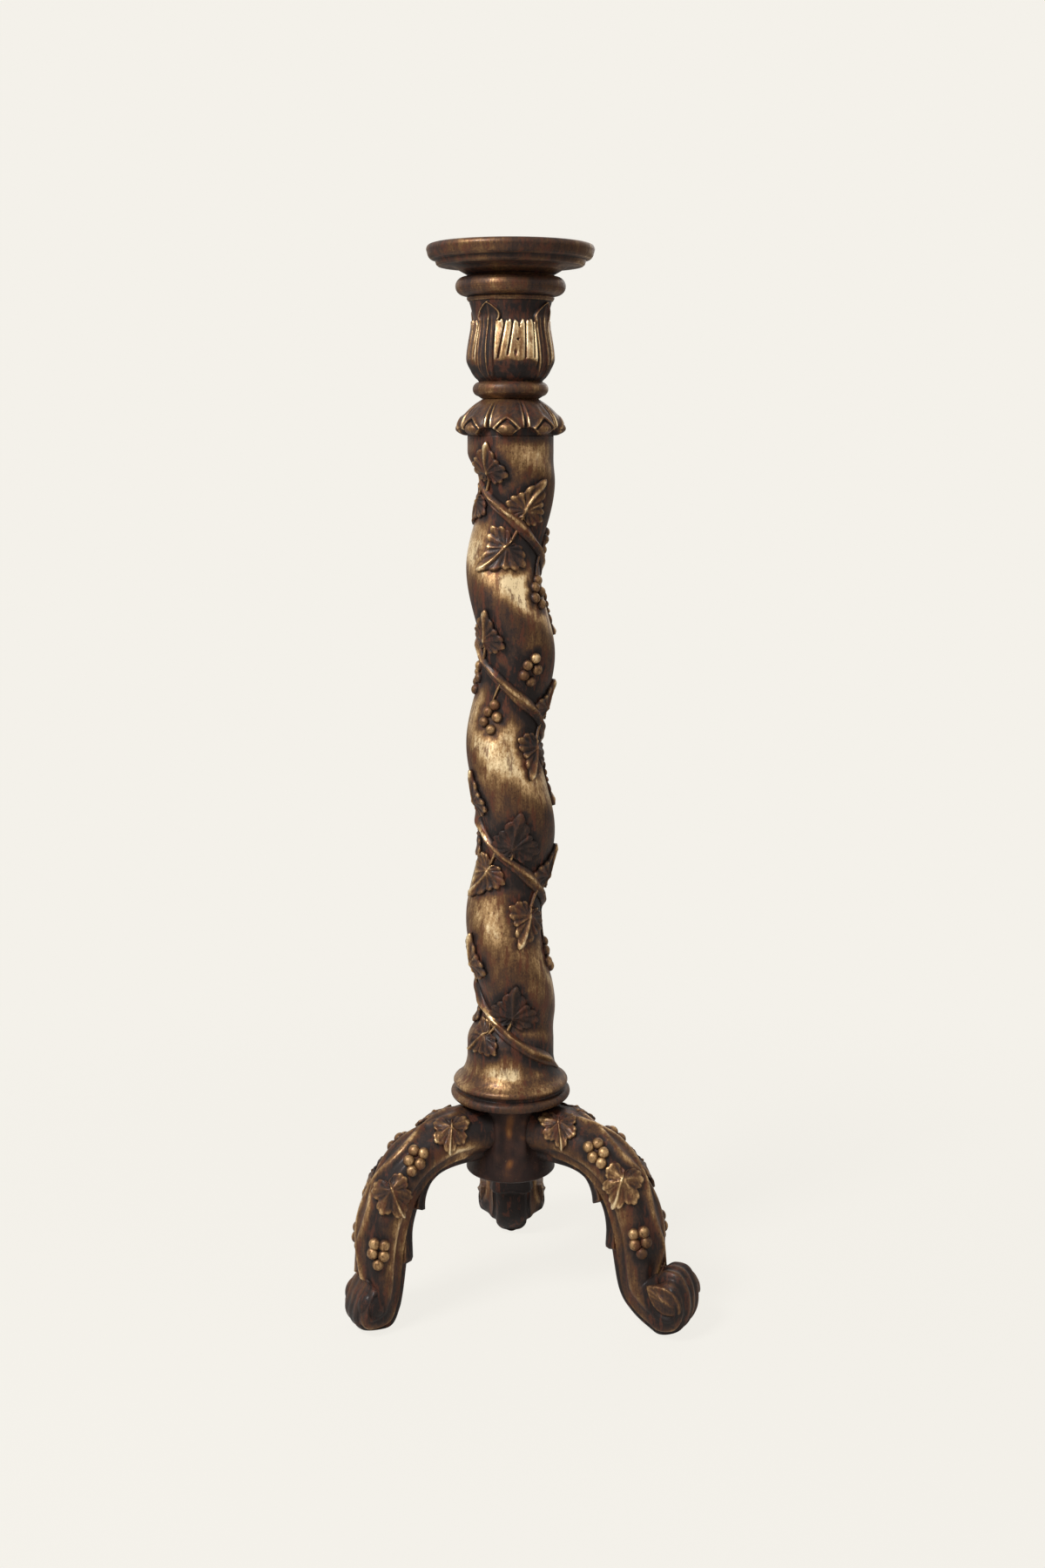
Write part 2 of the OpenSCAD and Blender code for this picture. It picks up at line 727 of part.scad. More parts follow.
module rod_nuts() {
    color(steel) for (z = [low_seat_z - washer_t - nut_h, high_seat_z + washer_t])
        translate([0, 0, z]) difference() {
            cylinder(h = nut_h, d = nut_w / cos(30), $fn = 6);
            translate([0, 0, -1]) cylinder(h = nut_h + 2, d = rod_d + 0.1, $fn = 48);
        }
}

module rod_washers() {
    color(steel) for (z = [low_seat_z - washer_t, high_seat_z])
        translate([0, 0, z]) difference() {
            cylinder(h = washer_t, d = washer_d, $fn = 48);
            translate([0, 0, -1]) cylinder(h = washer_t + 2, d = rod_d + 0.5, $fn = 48);
        }
}

dish();
neck_ring();
capital();
knop_ring();
collar();
column();
column_vine();
column_leaves();
column_grapes();
base_ring();
hub();
leg(right_az, right_kick, foot_h);  // leg_right
leg(left_az, left_kick, left_foot_h);  // leg_left
leg(back_az, back_kick, foot_h);  // leg_back
leg_leaves(right_az, right_kick, foot_h, right_shift);  // leg_right_leaves
leg_leaves(left_az, left_kick, left_foot_h, left_shift);  // leg_left_leaves
leg_leaves(back_az, back_kick, foot_h, back_shift);  // leg_back_leaves
leg_grapes(right_az, right_kick, foot_h, right_shift);  // leg_right_grapes
leg_grapes(left_az, left_kick, left_foot_h, left_shift);  // leg_left_grapes
leg_grapes(back_az, back_kick, foot_h, back_shift);  // leg_back_grapes
leg_dowels();
tie_rod();
rod_nuts();
rod_washers();
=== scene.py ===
"""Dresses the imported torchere: carved and turned giltwood, worked out as surfaces in millimetres."""
import math

import bpy
import numpy as np
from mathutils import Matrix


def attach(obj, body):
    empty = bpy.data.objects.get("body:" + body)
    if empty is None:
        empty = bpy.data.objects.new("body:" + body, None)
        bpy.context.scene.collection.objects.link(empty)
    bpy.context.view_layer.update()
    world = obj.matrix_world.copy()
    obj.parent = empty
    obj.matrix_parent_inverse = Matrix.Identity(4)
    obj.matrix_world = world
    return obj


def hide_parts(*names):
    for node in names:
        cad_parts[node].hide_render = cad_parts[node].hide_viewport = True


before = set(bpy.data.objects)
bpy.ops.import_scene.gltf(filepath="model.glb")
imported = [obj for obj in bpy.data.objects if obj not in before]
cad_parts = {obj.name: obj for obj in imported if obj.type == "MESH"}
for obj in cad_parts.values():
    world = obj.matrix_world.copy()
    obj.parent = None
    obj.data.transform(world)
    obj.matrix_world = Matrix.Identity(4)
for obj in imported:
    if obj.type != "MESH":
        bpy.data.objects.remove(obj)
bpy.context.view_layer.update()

# ---- Sizes of the stand, in millimetres ----

DISH_R = 97
DISH_H = 37
RIM_W = 15
RECESS_DEPTH = 10
NECK_R = 63.5
NECK_H = 28
CUP_R = 48.5
CUP_H = 92
CUP_RELIEF = 2.6
KNOP_R = 43.5
KNOP_H = 20
PETAL_R = 64
COLLAR_H = 42
COLUMN_H = 740
COLUMN_R = 49.5
TWIST_R = 42.5
TWIST_THROW = 8.5
TWIST_PITCH = 200
FLARE_R = 65.5
BASE_R = 68
BASE_H = 16
HUB_CLEAR = 141
HUB_H = 88
HUB_R = 45
HUB_SPREAD = 6
KNEE_R = 187
LEG_HALF_W = 30
LEG_DEPTH = 63
CROWN_DROP = 2.2
FOOT_RUN = 40
LEAF_LEN = 50
LEAF_T = 4
GRAPE_R = 5.8
VINE_W = 9
VINE_T = 4.6

HUB_TOP = HUB_CLEAR + HUB_H
COLUMN_Z = HUB_TOP + BASE_H
COLUMN_TOP = COLUMN_Z + COLUMN_H
KNOP_Z = COLUMN_TOP + COLLAR_H
CUP_Z = KNOP_Z + KNOP_H
NECK_Z = CUP_Z + CUP_H
DISH_Z = NECK_Z + NECK_H
RIM_Z = DISH_Z + DISH_H
LEG_TOP = HUB_TOP - CROWN_DROP
ARCH_H = LEG_TOP - LEG_DEPTH

# ---- Small functions on whole arrays ----


def mix(a, b, t):
    """Straight blend: a at t = 0 and b at t = 1."""
    return a + (b - a) * t


def ease(t):
    """Smooth step from 0 to 1: 3 t squared less 2 t cubed."""
    t = np.clip(t, 0, 1)
    return t * t * (3 - 2 * t)


def bell(t, width):
    """A smooth bump: e to the power of minus the square of t over its width."""
    return np.exp(-((t / width) ** 2))


def curve(rows, t):
    """Smooth curve through the rows of a table, where t counts rows: a cubic between each two,
    whose slope at a row is half the step between the rows beside it."""
    rows = np.asarray(rows, float)
    t = np.asarray(t, float)
    i = np.clip(np.floor(t).astype(int), 0, len(rows) - 2)
    f = t - i
    if rows.ndim > 1:
        f = f[..., None]
    p0, p1, p2, p3 = (rows[np.clip(i + k, 0, len(rows) - 1)] for k in (-1, 0, 1, 2))
    return 0.5 * (2 * p1 + (p2 - p0) * f + (2 * p0 - 5 * p1 + 4 * p2 - p3) * f * f
                  + (3 * p1 - 3 * p2 + p3 - p0) * f * f * f)


def table(rows, x):
    """Smooth curve through rows whose first column is x itself."""
    rows = np.asarray(rows, float)
    out = curve(rows, np.interp(x, rows[:, 0], np.arange(len(rows))))
    return out[..., 1] if rows.shape[1] == 2 else out[..., 1:]


def bow(start, middle, end, t):
    """A parabola from start to end, which heads for middle at one end and from it at the other."""
    return (1 - t) ** 2 * start + 2 * t * (1 - t) * middle + t * t * end


def bearings(count):
    """A row of equal steps once round, in degrees."""
    return np.arange(count)[None] * 360 / count


def from_nearest(a, az, turn=360):
    """Degrees from the nearest of the bearings az, az + turn and so on."""
    return (a - az + turn / 2) % turn - turn / 2


def facing(a, az, least, width):
    """A patch that faces az: from 0 where the cosine is the least to 1 at the width above it."""
    return ease((np.cos(np.radians(a - az)) - least) / width)


def polar(r, degrees, z):
    """Points at radius r and bearing in degrees, at height z."""
    a = np.radians(degrees)
    r, a, z = np.broadcast_arrays(r, a, z)
    return np.stack([r * np.cos(a), r * np.sin(a), z], -1)


def unit(v):
    """Vectors brought to a length of 1."""
    return v / np.maximum(np.linalg.norm(v, axis=-1, keepdims=True), 1e-9)


def slopes(face, a, b, step):
    """The two central differences of a surface, over twice the step."""
    return face(a + step, b) - face(a - step, b), face(a, b + step) - face(a, b - step)


def away(face, a, b, step):
    """Outward unit normal of a surface: the cross product of its differences."""
    return unit(np.cross(*slopes(face, a, b, step)))


def scales_at(face, a, b, step):
    """Millimetres to a unit of each of a surface's two numbers."""
    return [np.linalg.norm(d) / (2 * step) for d in slopes(face, a, b, step)]


# Span of a random phase: about one turn
PHASES = 6.28


def ring_noise(a, z, seed, cells, tall):
    """Smooth hand-carved unevenness: a sum of sines of bearing and height."""
    rng = np.random.default_rng(seed)
    total = 0
    for _ in range(cells):
        turns = rng.integers(1, 9)
        rise = rng.uniform(-1, 1) / tall
        phase = rng.uniform(0, PHASES)
        total = total + np.sin(np.radians(a * turns) + z * rise * PHASES + phase) / turns ** 0.5
    return total / cells ** 0.5


# ---- Meshes from grids ----


def grid_normals(p):
    """Unit normals of a grid whose second direction closes on itself."""
    du = np.roll(p, -1, 1) - np.roll(p, 1, 1)
    dv = np.empty_like(p)
    dv[1:-1] = p[2:] - p[:-2]
    dv[0] = p[1] - p[0]
    dv[-1] = p[-1] - p[-2]
    return unit(np.cross(du, dv))


def relief(p, rounds, depth):
    """How far each point stands out from its neighbours' mean: 0 in a cut, 1 on an edge."""
    m = p
    for _ in range(rounds):
        m = (np.roll(m, 1, 1) + np.roll(m, -1, 1) + 2 * m) / 4
        m = (np.concatenate([m[:1], m[:-1]]) + np.concatenate([m[1:], m[-1:]]) + 2 * m) / 4
    out = ((p - m) * grid_normals(p)).sum(-1)
    return np.clip(0.5 + 0.5 * out / depth, 0, 1)


def capped(p, wear_and_light, shade=0):
    """A skin from a tube: half-size rings added at its ends, and the shade taken off its wear."""
    p = np.concatenate([p[:1] * [0.5, 0.5, 1], p, p[-1:] * [0.5, 0.5, 1]])
    return p, np.concatenate([wear_and_light[:1], wear_and_light - shade, wear_and_light[-1:]])


def sparse(skins, down=4, round_by=6):
    """A few points of each skin, by which another piece finds how near it lies."""
    return np.concatenate([p[::down, ::round_by].reshape(-1, 3) for p, _ in skins])


def near_ornament(p, marks, reach):
    """Share from 1 at a mark to 0 at the reach from it, for each ring of points in p."""
    out = np.zeros(p.shape[:2])
    for k, ring in enumerate(p):
        low = ring[:, 2].min() - reach
        high = ring[:, 2].max() + reach
        close = marks[(marks[:, 2] > low) & (marks[:, 2] < high)]
        if len(close):
            gap = np.sqrt(((ring[:, None] - close[None]) ** 2).sum(-1)).min(1)
            out[k] = ease(1 - gap / reach)
    return out


def linked(name, data):
    """A new object in the scene."""
    obj = bpy.data.objects.new(name, data)
    bpy.context.scene.collection.objects.link(obj)
    return obj


def piece(node, skins, finish, suffix="_carved"):
    """One object that stands for a node, from closed skins. A skin is a grid of rings, closed
    round and capped at both ends by a middle point, with its worn gilding and painted light."""
    points, all_wear_and_light, quads, tris = [], [], [], []
    start = 0
    for p, wear_and_light in skins:
        rows, around = p.shape[:2]
        points += [p.reshape(-1, 3), p[0].mean(0)[None], p[-1].mean(0)[None]]
        wear_and_light = np.broadcast_to(wear_and_light, p.shape[:2])
        all_wear_and_light += [wear_and_light.reshape(-1), wear_and_light[0].mean()[None], wear_and_light[-1].mean()[None]]
        i = np.arange(around)
        j = (i + 1) % around
        base = start + np.arange(rows - 1)[:, None] * around
        square = [base + i, base + j, base + around + j, base + around + i]
        quads.append(np.stack(square, -1).reshape(-1, 4))
        low = start + rows * around
        last = start + (rows - 1) * around
        tris.append(np.stack([np.full(around, low), j + start, i + start], -1))
        tris.append(np.stack([np.full(around, low + 1), i + last, j + last], -1))
        start += rows * around + 2
    points = np.concatenate(points) * 0.001
    all_wear_and_light = np.concatenate(all_wear_and_light)
    quads = np.concatenate(quads)
    tris = np.concatenate(tris)
    mesh = bpy.data.meshes.new(node + suffix)
    mesh.vertices.add(len(points))
    mesh.vertices.foreach_set("co", points.astype(np.float32).ravel())
    mesh.loops.add(quads.size + tris.size)
    corners = np.concatenate([quads.ravel(), tris.ravel()])
    mesh.loops.foreach_set("vertex_index", corners.astype(np.int32))
    mesh.polygons.add(len(quads) + len(tris))
    starts = np.concatenate([np.arange(len(quads)) * 4, quads.size + np.arange(len(tris)) * 3])
    mesh.polygons.foreach_set("loop_start", starts.astype(np.int32))
    mesh.polygons.foreach_set("use_smooth", np.ones(len(starts), bool))
    mesh.update(calc_edges=True)
    mesh.validate()
    # The attribute holds the rubbing and, on some pieces, painted highlights and painted shade.
    layer = mesh.attributes.new("wear_and_light", "FLOAT", "POINT")
    layer.data.foreach_set("value", all_wear_and_light.astype(np.float32))
    mesh.materials.append(finish)
    obj = linked(node + suffix, mesh)
    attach(obj, "root")
    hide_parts(node)


# The smallest ring of a turned piece
AXIS_R = 0.05


def rounded(corners, step=0.7):
    """A turned outline, as radii and heights: straight runs between (radius, height, fillet)
    corners, each corner replaced by the arc of its fillet, sampled every step or so."""
    corners = [np.array(c, float) for c in corners]
    out = [corners[0][:2]]
    for before, at, after in zip(corners, corners[1:], corners[2:]):
        d0 = before[:2] - at[:2]
        d1 = after[:2] - at[:2]
        l0 = np.linalg.norm(d0)
        l1 = np.linalg.norm(d1)
        d0 = d0 / l0
        d1 = d1 / l1
        half = math.acos(np.clip(d0 @ d1, -1, 1)) / 2
        cut = min(at[2] / max(math.tan(half), 1e-3), 0.49 * l0, 0.49 * l1)
        steps = max(2, int(cut * 2 / step) + 1)
        t = np.linspace(0, 1, steps + 1)[:, None]
        out += list(bow(at[:2] + d0 * cut, at[:2], at[:2] + d1 * cut, t))
    out.append(corners[-1][:2])
    out = np.array(out)
    length = np.concatenate([[0], np.cumsum(np.linalg.norm(np.diff(out, axis=0), axis=1))])
    keep = np.concatenate([[True], np.diff(length) > 1e-4])
    out, length = out[keep], length[keep]
    even = np.union1d(length, np.arange(0, length[-1], 3 * step))
    return [np.interp(even, length, out[:, k])[:, None] for k in (0, 1)]


def bulge(cx, cz, r, start, end, steps):
    """Corners on an arc about (cx, cz), for a bead in a turned outline."""
    a = np.radians(np.linspace(start, end, steps + 1))
    return [(cx + r * math.cos(t), cz + r * math.sin(t), r * 0.2) for t in a]


def steps_from(r, z, rows):
    """Corners of a turned outline, told from a radius and a height."""
    return [(r + dr, z + dz, fillet) for dr, dz, fillet in rows]


def turned(node, corners, finish, around, seed, wobble=0.12):
    """A lathe piece: the rounded outline carried once round the axis, a hair out of true."""
    r, z = rounded(corners)
    a = bearings(around)
    r = r + wobble * ring_noise(a, z, seed, 7, 30) * ease(r / 20)
    p = polar(np.maximum(r, AXIS_R), a, z)
    piece(node, [(p, relief(p, 5, 0.36))], finish, suffix="_turned")


# ---- Finishes ----


class Nodes:
    """Builds the nodes of a material or a world in few words."""

    def __init__(self, owner):
        self.owner = owner
        owner.use_nodes = True
        self.tree = owner.node_tree

    def fill(self, node, values):
        """Set a node's inputs to numbers or colours, or link them to other nodes' outputs."""
        for key, value in values.items():
            if isinstance(value, bpy.types.NodeSocket):
                self.tree.links.new(value, node.inputs[key])
            else:
                node.inputs[key].default_value = value
        return node.outputs

    def add(self, kind, inputs={}, **settings):
        """The outputs of a new node of a kind."""
        node = self.tree.nodes.new("ShaderNode" + kind)
        for key, value in settings.items():
            setattr(node, key, value)
        return self.fill(node, inputs)

    def surface(self, **values):
        """Set the shader's inputs by name, with _ for a space. The result is its output."""
        shader = self.tree.nodes["Principled BSDF"]
        return self.fill(shader, {name.replace("_", " "): value for name, value in values.items()})[0]

    def wear_and_light(self):
        """The piece's own rubbing and painted light, from 0 in the hollows and painted shade to 1 on the
        rubbed edges and painted highlights.
        """
        return self.add("Attribute", attribute_name="wear_and_light")["Fac"]

    def maths(self, operation, a, b, clamp=False):
        """One sum on two values."""
        return self.add("Math", {0: a, 1: b}, operation=operation, use_clamp=clamp)[0]

    def plus(self, value, source, size):
        """The value plus size times a noise, taken about its mean of a half."""
        part = self.maths("MULTIPLY", self.maths("SUBTRACT", source, 0.5), size)
        return self.maths("ADD", value, part)

    def range(self, value, low, high, to_low=0.0, to_high=1.0):
        """The span low to high brought smoothly to another."""
        inputs = {0: value, 1: low, 2: high, 3: to_low, 4: to_high}
        return self.add("MapRange", inputs, interpolation_type="SMOOTHSTEP")[0]

    def noise(self, scale, detail=4.0, roughness=0.6, stretch=(1, 1, 1), offset=(0, 0, 0)):
        """Cloud noise in the piece's own space, drawn out where a stretch is under 1."""
        place = self.add("TexCoord")["Object"]
        place = self.add("Mapping", {0: place, "Location": offset, "Scale": stretch})[0]
        inputs = {"Vector": place, "Scale": scale, "Detail": detail, "Roughness": roughness}
        return self.add("TexNoise", inputs)["Fac"]

    def blend(self, share, a, b):
        """Colour a where the share is 0, and b where it is 1."""
        return self.add("Mix", {0: share, 6: a, 7: b}, data_type="RGBA")[2]

    def ramp(self, value, stops):
        """A colour by value, through stops of place and colour."""
        out = self.add("ValToRGB", {0: value})[0]
        ramp = out.node.color_ramp
        while len(ramp.elements) < len(stops):
            ramp.elements.new(0.5)
        for element, (at, colour) in zip(ramp.elements, stops):
            element.position = at
            element.color = colour
        return out

    def join(self, output, share, a, b):
        """Send the output shader a where the share is 0, and b where it is 1."""
        self.fill(self.tree.nodes[output], {0: self.add("MixShader", {0: share, 1: a, 2: b})[0]})

    def bump(self, height, strength):
        """Grain too fine to model: a millimetre of height, by the given strength."""
        return self.add("Bump", {"Strength": strength, "Distance": 0.001, "Height": height})[0]


def srgb(r, g, b):
    """A colour given as it shows on screen, 0 to 255, turned to linear light."""
    line = [(c / 255 / 12.92 if c <= 10 else ((c / 255 + 0.055) / 1.055) ** 2.4) for c in (r, g, b)]
    return (*line, 1)


UMBER = srgb(30, 23, 22)
PLUM = srgb(51, 37, 32)
RED_BROWN = srgb(90, 50, 35)
BROWN = srgb(82, 56, 38)
OLIVE = srgb(118, 88, 58)
GOLD = srgb(176, 142, 100)
PALE = srgb(230, 206, 164)
SURROUND = srgb(244, 241, 234)


def aged_gilt(name, lift=0.0, contrast=1.0, gloss=0.34, red=0.6):
    """Old leaf over dark red-brown bole. The leaf's share is the piece's own rubbing and painted
    light plus noise at three sizes: patches, streaks down the piece, and speckle where it is
    rubbed through. The share picks the colour, and the metal and the gloss follow it."""
    n = Nodes(bpy.data.materials.new(name))
    patch = n.noise(26, 4, 0.6, (1, 1, 0.6))
    streaks = n.noise(300, 4, 0.6, (1, 1, 0.12), (3, 1, 0))
    speckle = n.noise(520, 4, 0.7, (1, 1, 0.7), (0, 5, 2))
    share = n.maths("MULTIPLY", n.wear_and_light(), contrast)
    share = n.maths("ADD", share, lift + 0.5 * (1 - contrast))
    for source, size in ((patch, 1.3), (streaks, 0.5), (speckle, 0.55)):
        share = n.plus(share, source, size)
    share = n.maths("MAXIMUM", share, 0.0, True)
    stops = [(0.0, UMBER), (0.2, PLUM), (0.42, BROWN), (0.6, OLIVE), (0.8, GOLD), (1.0, PALE)]
    through = n.range(n.noise(120, 5, 0.68, (1, 1, 0.25), (7, 7, 1)), 0.5, 0.62, 0.0, red)
    colour = n.blend(through, n.ramp(share, stops), RED_BROWN)
    pits = n.range(speckle, 0.3, 0.42, 0.75, 0.0)
    height = n.maths("ADD", n.maths("MULTIPLY", streaks, 0.7), n.maths("MULTIPLY", speckle, 0.35))
    n.surface(Base_Color=n.blend(pits, colour, UMBER), Metallic=n.range(share, 0.2, 0.75, 0.2, 0.75))
    n.surface(Roughness=n.plus(n.range(share, 0.1, 0.9, 0.6, gloss), streaks, 0.25))
    n.surface(Specular_IOR_Level=0.2, Coat_Weight=0.08, Coat_Roughness=0.2, Normal=n.bump(height, 0.25))
    return n.owner


def dark_bole(name):
    """Bare dark bole with reddish rubs and a few grains of gold."""
    n = Nodes(bpy.data.materials.new(name))
    patch = n.noise(40, 4, 0.6, (1, 1, 0.5))
    speckle = n.noise(620, 4, 0.75)
    stops = [(0.15, srgb(38, 26, 24)), (0.45, srgb(58, 38, 31)), (0.75, srgb(108, 68, 38))]
    stops += [(1.0, srgb(150, 108, 62))]
    colour = n.ramp(n.plus(n.wear_and_light(), patch, 1.2), stops)
    n.surface(Base_Color=n.blend(n.range(speckle, 0.66, 0.74), colour, GOLD), Metallic=0.2)
    n.surface(Specular_IOR_Level=0.2, Roughness=n.range(patch, 0.3, 0.7, 0.42, 0.62))
    n.surface(Normal=n.bump(speckle, 0.3))
    return n.owner


def bare_beech(name):
    """Straight-grained beech: noise drawn out along the dowel."""
    n = Nodes(bpy.data.materials.new(name))
    grain = n.noise(260, 6, 0.7, (0.15, 0.15, 1))
    colour = n.ramp(grain, [(0.3, srgb(160, 116, 74)), (0.7, srgb(204, 164, 118))])
    n.surface(Base_Color=colour, Roughness=0.6)
    return n.owner


def dull_steel(name):
    """Dull rod steel with a little rust bloom."""
    n = Nodes(bpy.data.materials.new(name))
    bloom = n.noise(180, 5, 0.7)
    colour = n.ramp(bloom, [(0.5, srgb(142, 144, 147)), (0.75, srgb(112, 84, 64))])
    n.surface(Base_Color=colour, Metallic=n.range(bloom, 0.45, 0.7, 0.95, 0.3))
    n.surface(Roughness=n.range(bloom, 0.3, 0.8, 0.32, 0.7))
    return n.owner


# ---- Turned pieces ----


def dish(finish):
    """Drip dish: a rolled rim over a sloping band, a fillet and a deep cove, round a flat recess."""
    lip_r = 5.5
    recess_r = DISH_R - RIM_W
    corners = [(0, DISH_Z - 0.2, 0)] + steps_from(DISH_R, DISH_Z, [(-48, -0.2, 0.8), (-46.5, 2.5, 1)])
    corners += bulge(DISH_R - 27, DISH_Z - 3, 15, 136, 76, 8)
    band = [(-13.5, 12.2, 0.8), (-11.4, 14, 0.6), (-10, 18.6, 0.8), (-8.2, 19.4, 0.5)]
    corners += steps_from(DISH_R, DISH_Z, band)
    corners += bulge(DISH_R - 10, RIM_Z - 9.5, 8.8, -58, -18, 4)
    corners += bulge(DISH_R - lip_r, RIM_Z - lip_r, lip_r, -20, 95, 9)
    corners += [(recess_r + 4, RIM_Z - 0.3, 1), (recess_r, RIM_Z - 3, 1.2)]
    corners += [(recess_r - 0.5, RIM_Z - RECESS_DEPTH, 1.5), (0, RIM_Z - RECESS_DEPTH, 0)]
    turned("dish", corners, finish, 320, 3)


def neck_ring(finish):
    """A fat bead over a narrow reeded band."""
    bead_r = 0.39 * NECK_H
    bead_z = DISH_Z - bead_r
    corners = [(0, NECK_Z - 0.1, 0)]
    corners += steps_from(NECK_R, NECK_Z, [(-14.6, -0.1, 0.4), (-13.8, 1.2, 0.6)])
    corners += bulge(NECK_R - 15.4, NECK_Z + 3.2, 2.4, -50, 60, 4)
    corners += [(NECK_R - 13.2, NECK_Z + 5.8, 0.5)]
    corners += bulge(NECK_R - bead_r, bead_z, bead_r, -78, 82, 12)
    corners += [(NECK_R - bead_r - 3, DISH_Z, 0.5), (0, DISH_Z, 0)]
    turned("neck_ring", corners, finish, 288, 5)


def knop_ring(finish):
    """A plain half-round bead."""
    r = 0.42 * KNOP_H
    corners = [(0, KNOP_Z, 0), (KNOP_R - 11, KNOP_Z, 1)]
    corners += bulge(KNOP_R - r, KNOP_Z + 0.56 * KNOP_H, r, -76, 84, 12)
    corners += [(KNOP_R - 6, CUP_Z, 0.5), (0, CUP_Z, 0)]
    turned("knop_ring", corners, finish, 256, 7)


def base_ring(finish):
    """A half-round moulding with a step and a cove above it and a thin lip at the top."""
    corners = [(0, HUB_TOP, 0), (BASE_R - 9, HUB_TOP, 1.0)]
    corners += bulge(BASE_R - 5.2, HUB_TOP + 5.2, 5.2, -64, 62, 10)
    corners += steps_from(BASE_R, HUB_TOP, [(-3.6, 10.2, 0.5), (-7, 11.2, 1.4)])
    corners += steps_from(BASE_R, COLUMN_Z, [(-6.6, -1.4, 1.2), (-3.4, -0.2, 0.4)]) + [(0, COLUMN_Z, 0)]
    turned("base_ring", corners, finish, 288, 9, 0.25)


# ---- Capital ----

# The belly: share of the cup's height and share of its radius
CUP_ROWS = [
    [0, 0.78], [0.05, 0.87], [0.11, 0.95], [0.19, 1.005], [0.3, 1.02], [0.42, 1.0],
    [0.55, 0.96], [0.68, 0.92], [0.8, 0.92], [0.9, 0.96], [1, 1.01],
]
# Bearing of one tall leaf, and degrees to the next
TALL_LEAF_AZ = -123
CUP_TURN = 90
# Edges of a tall leaf by share of the height, in degrees from its spine
LEAF_LEFT = [
    [0, 13], [0.2, 17], [0.6, 17.5], [0.72, 19], [0.79, 20.5], [0.86, 16], [0.93, 8], [0.985, 0], [1, 0],
]
LEAF_RIGHT = [
    [0, 9], [0.2, 10], [0.6, 10], [0.7, 13], [0.78, 19], [0.85, 18], [0.92, 10], [0.985, 1], [1, 0],
]
# Cuts of a short leaf: bearing at the top and at the foot, lowest and highest share of the height
CUP_CUTS = [
    [24.8, 16.4, 0.25, 0.72], [36.5, 28.3, 0.29, 0.71], [46, 46, 0.64, 0.74], [55.8, 53.3, 0.25, 0.72],
    [69.3, 66.4, 0.26, 0.73],
]
# Pits of a short leaf: bearing, share of the height and half their own height
CUP_PITS = [[43.6, 0.505, 0.014], [40, 0.34, 0.035]]


def cup_relief(a, v):
    """Carving on the cup, as a share of its relief, at bearing a and height share v. A tall leaf
    has tables of its edges, three ridges, a spine and a curled rim at the top. Beside it stands a
    short leaf with deep slanting cuts, blunt fingers between them and a few pits. The second
    result is where the short leaves' gilding is whole."""
    off = from_nearest(a, TALL_LEAF_AZ, CUP_TURN)
    inside = np.minimum(off + table(LEAF_LEFT, v), table(LEAF_RIGHT, v) - off)
    sway = 0.8 * np.sin(7 * v + 1)
    ridges = 0.62 + 0.3 * bell(off + 14.5 - sway, 1.7) + 0.28 * bell(off + 9 + sway, 1.6)
    ridges = ridges + 0.25 * bell(off - 5.5, 1.5) + 0.65 * bell(off - sway, 1.5)
    ridges = mix(ridges, 0.55 + 0.35 * bell(off - sway, 2.2), ease((v - 0.74) / 0.08))
    tall = ease(inside / 2.0) * ridges
    tall = tall + 0.75 * bell(inside - 2.6, 2.0) * ease((v - 0.7) / 0.06) * ease((1.0 - v) / 0.06)
    tall = tall * ease((v + 0.02) / 0.1)
    place = (a - TALL_LEAF_AZ) % CUP_TURN
    cuts = 0
    near = CUP_TURN + 0 * place
    for top, foot, low, high in CUP_CUTS:
        line = mix(foot, top, (v - 0.25) / 0.47)
        cuts = cuts + bell(place - line, 1.05) * ease((v - low) / 0.04) * ease((high + 0.05 - v) / 0.03)
        near = np.minimum(near, np.abs(place - line))
    for at, middle, half in CUP_PITS:
        cuts = cuts + 0.9 * np.exp(-((place - at) / 1.7) ** 2 - ((v - middle) / half) ** 2)
    head = 0.705 + 0.05 * ease(near / 4) + 0.012 * np.sin(place)
    short = ease(np.minimum(place - 10.3, 72.5 - place) / 1.6) * ease((head - v) / 0.022)
    cuts = np.clip(cuts, 0, 1)
    gilded = short * (1 - cuts) * ease((v - 0.235 - 0.012 * np.sin(place / 4)) / 0.03)
    short = short * ease((v - 0.12) / 0.16) * (0.8 + 0.12 * ease(near / 4) - 0.85 * cuts)
    ripple = 0.2 * np.cos(np.radians(off * 8)) * bell(v - 0.06, 0.1)
    return np.maximum(tall, short) + ripple, np.where(tall > short, 0, gilded)


def capital(finish):
    """The cup: its belly's radius by height, raised by the carving. Painted light makes the gilding
    lighter towards the front, and painted shade darkens the foot and the top."""
    a = bearings(480)
    v = np.linspace(0, 1, 200)[:, None]
    r = table(CUP_ROWS, v) * CUP_R - 0.5 * CUP_RELIEF
    carved, gilded = cup_relief(a, v)
    r = r + CUP_RELIEF * 1.15 * carved + 0.15 * ring_noise(a, v * CUP_H, 21, 9, 25)
    p = polar(r, a, CUP_Z + v * CUP_H)
    # Painted light: the short leaves' gilding is lighter towards the front, where the lamp falls.
    front = 0.3 + 0.7 * facing(a, TALL_LEAF_AZ + 42, 0.3, 0.5)
    wear_and_light = relief(p, 9, 0.75) * 0.9 + 0.34 * gilded * front
    # Painted shade at the foot and the top of the cup.
    shade = 0.12 + 0.2 * ease((0.24 - v) / 0.1) + 0.15 * ease((v - 0.78) / 0.1)
    piece("capital", [capped(p, wear_and_light, shade)], finish)


# ---- Collar ----

# Bearing of one petal, and degrees to the next
PETAL_AZ = -94
PETAL_TURN = 45
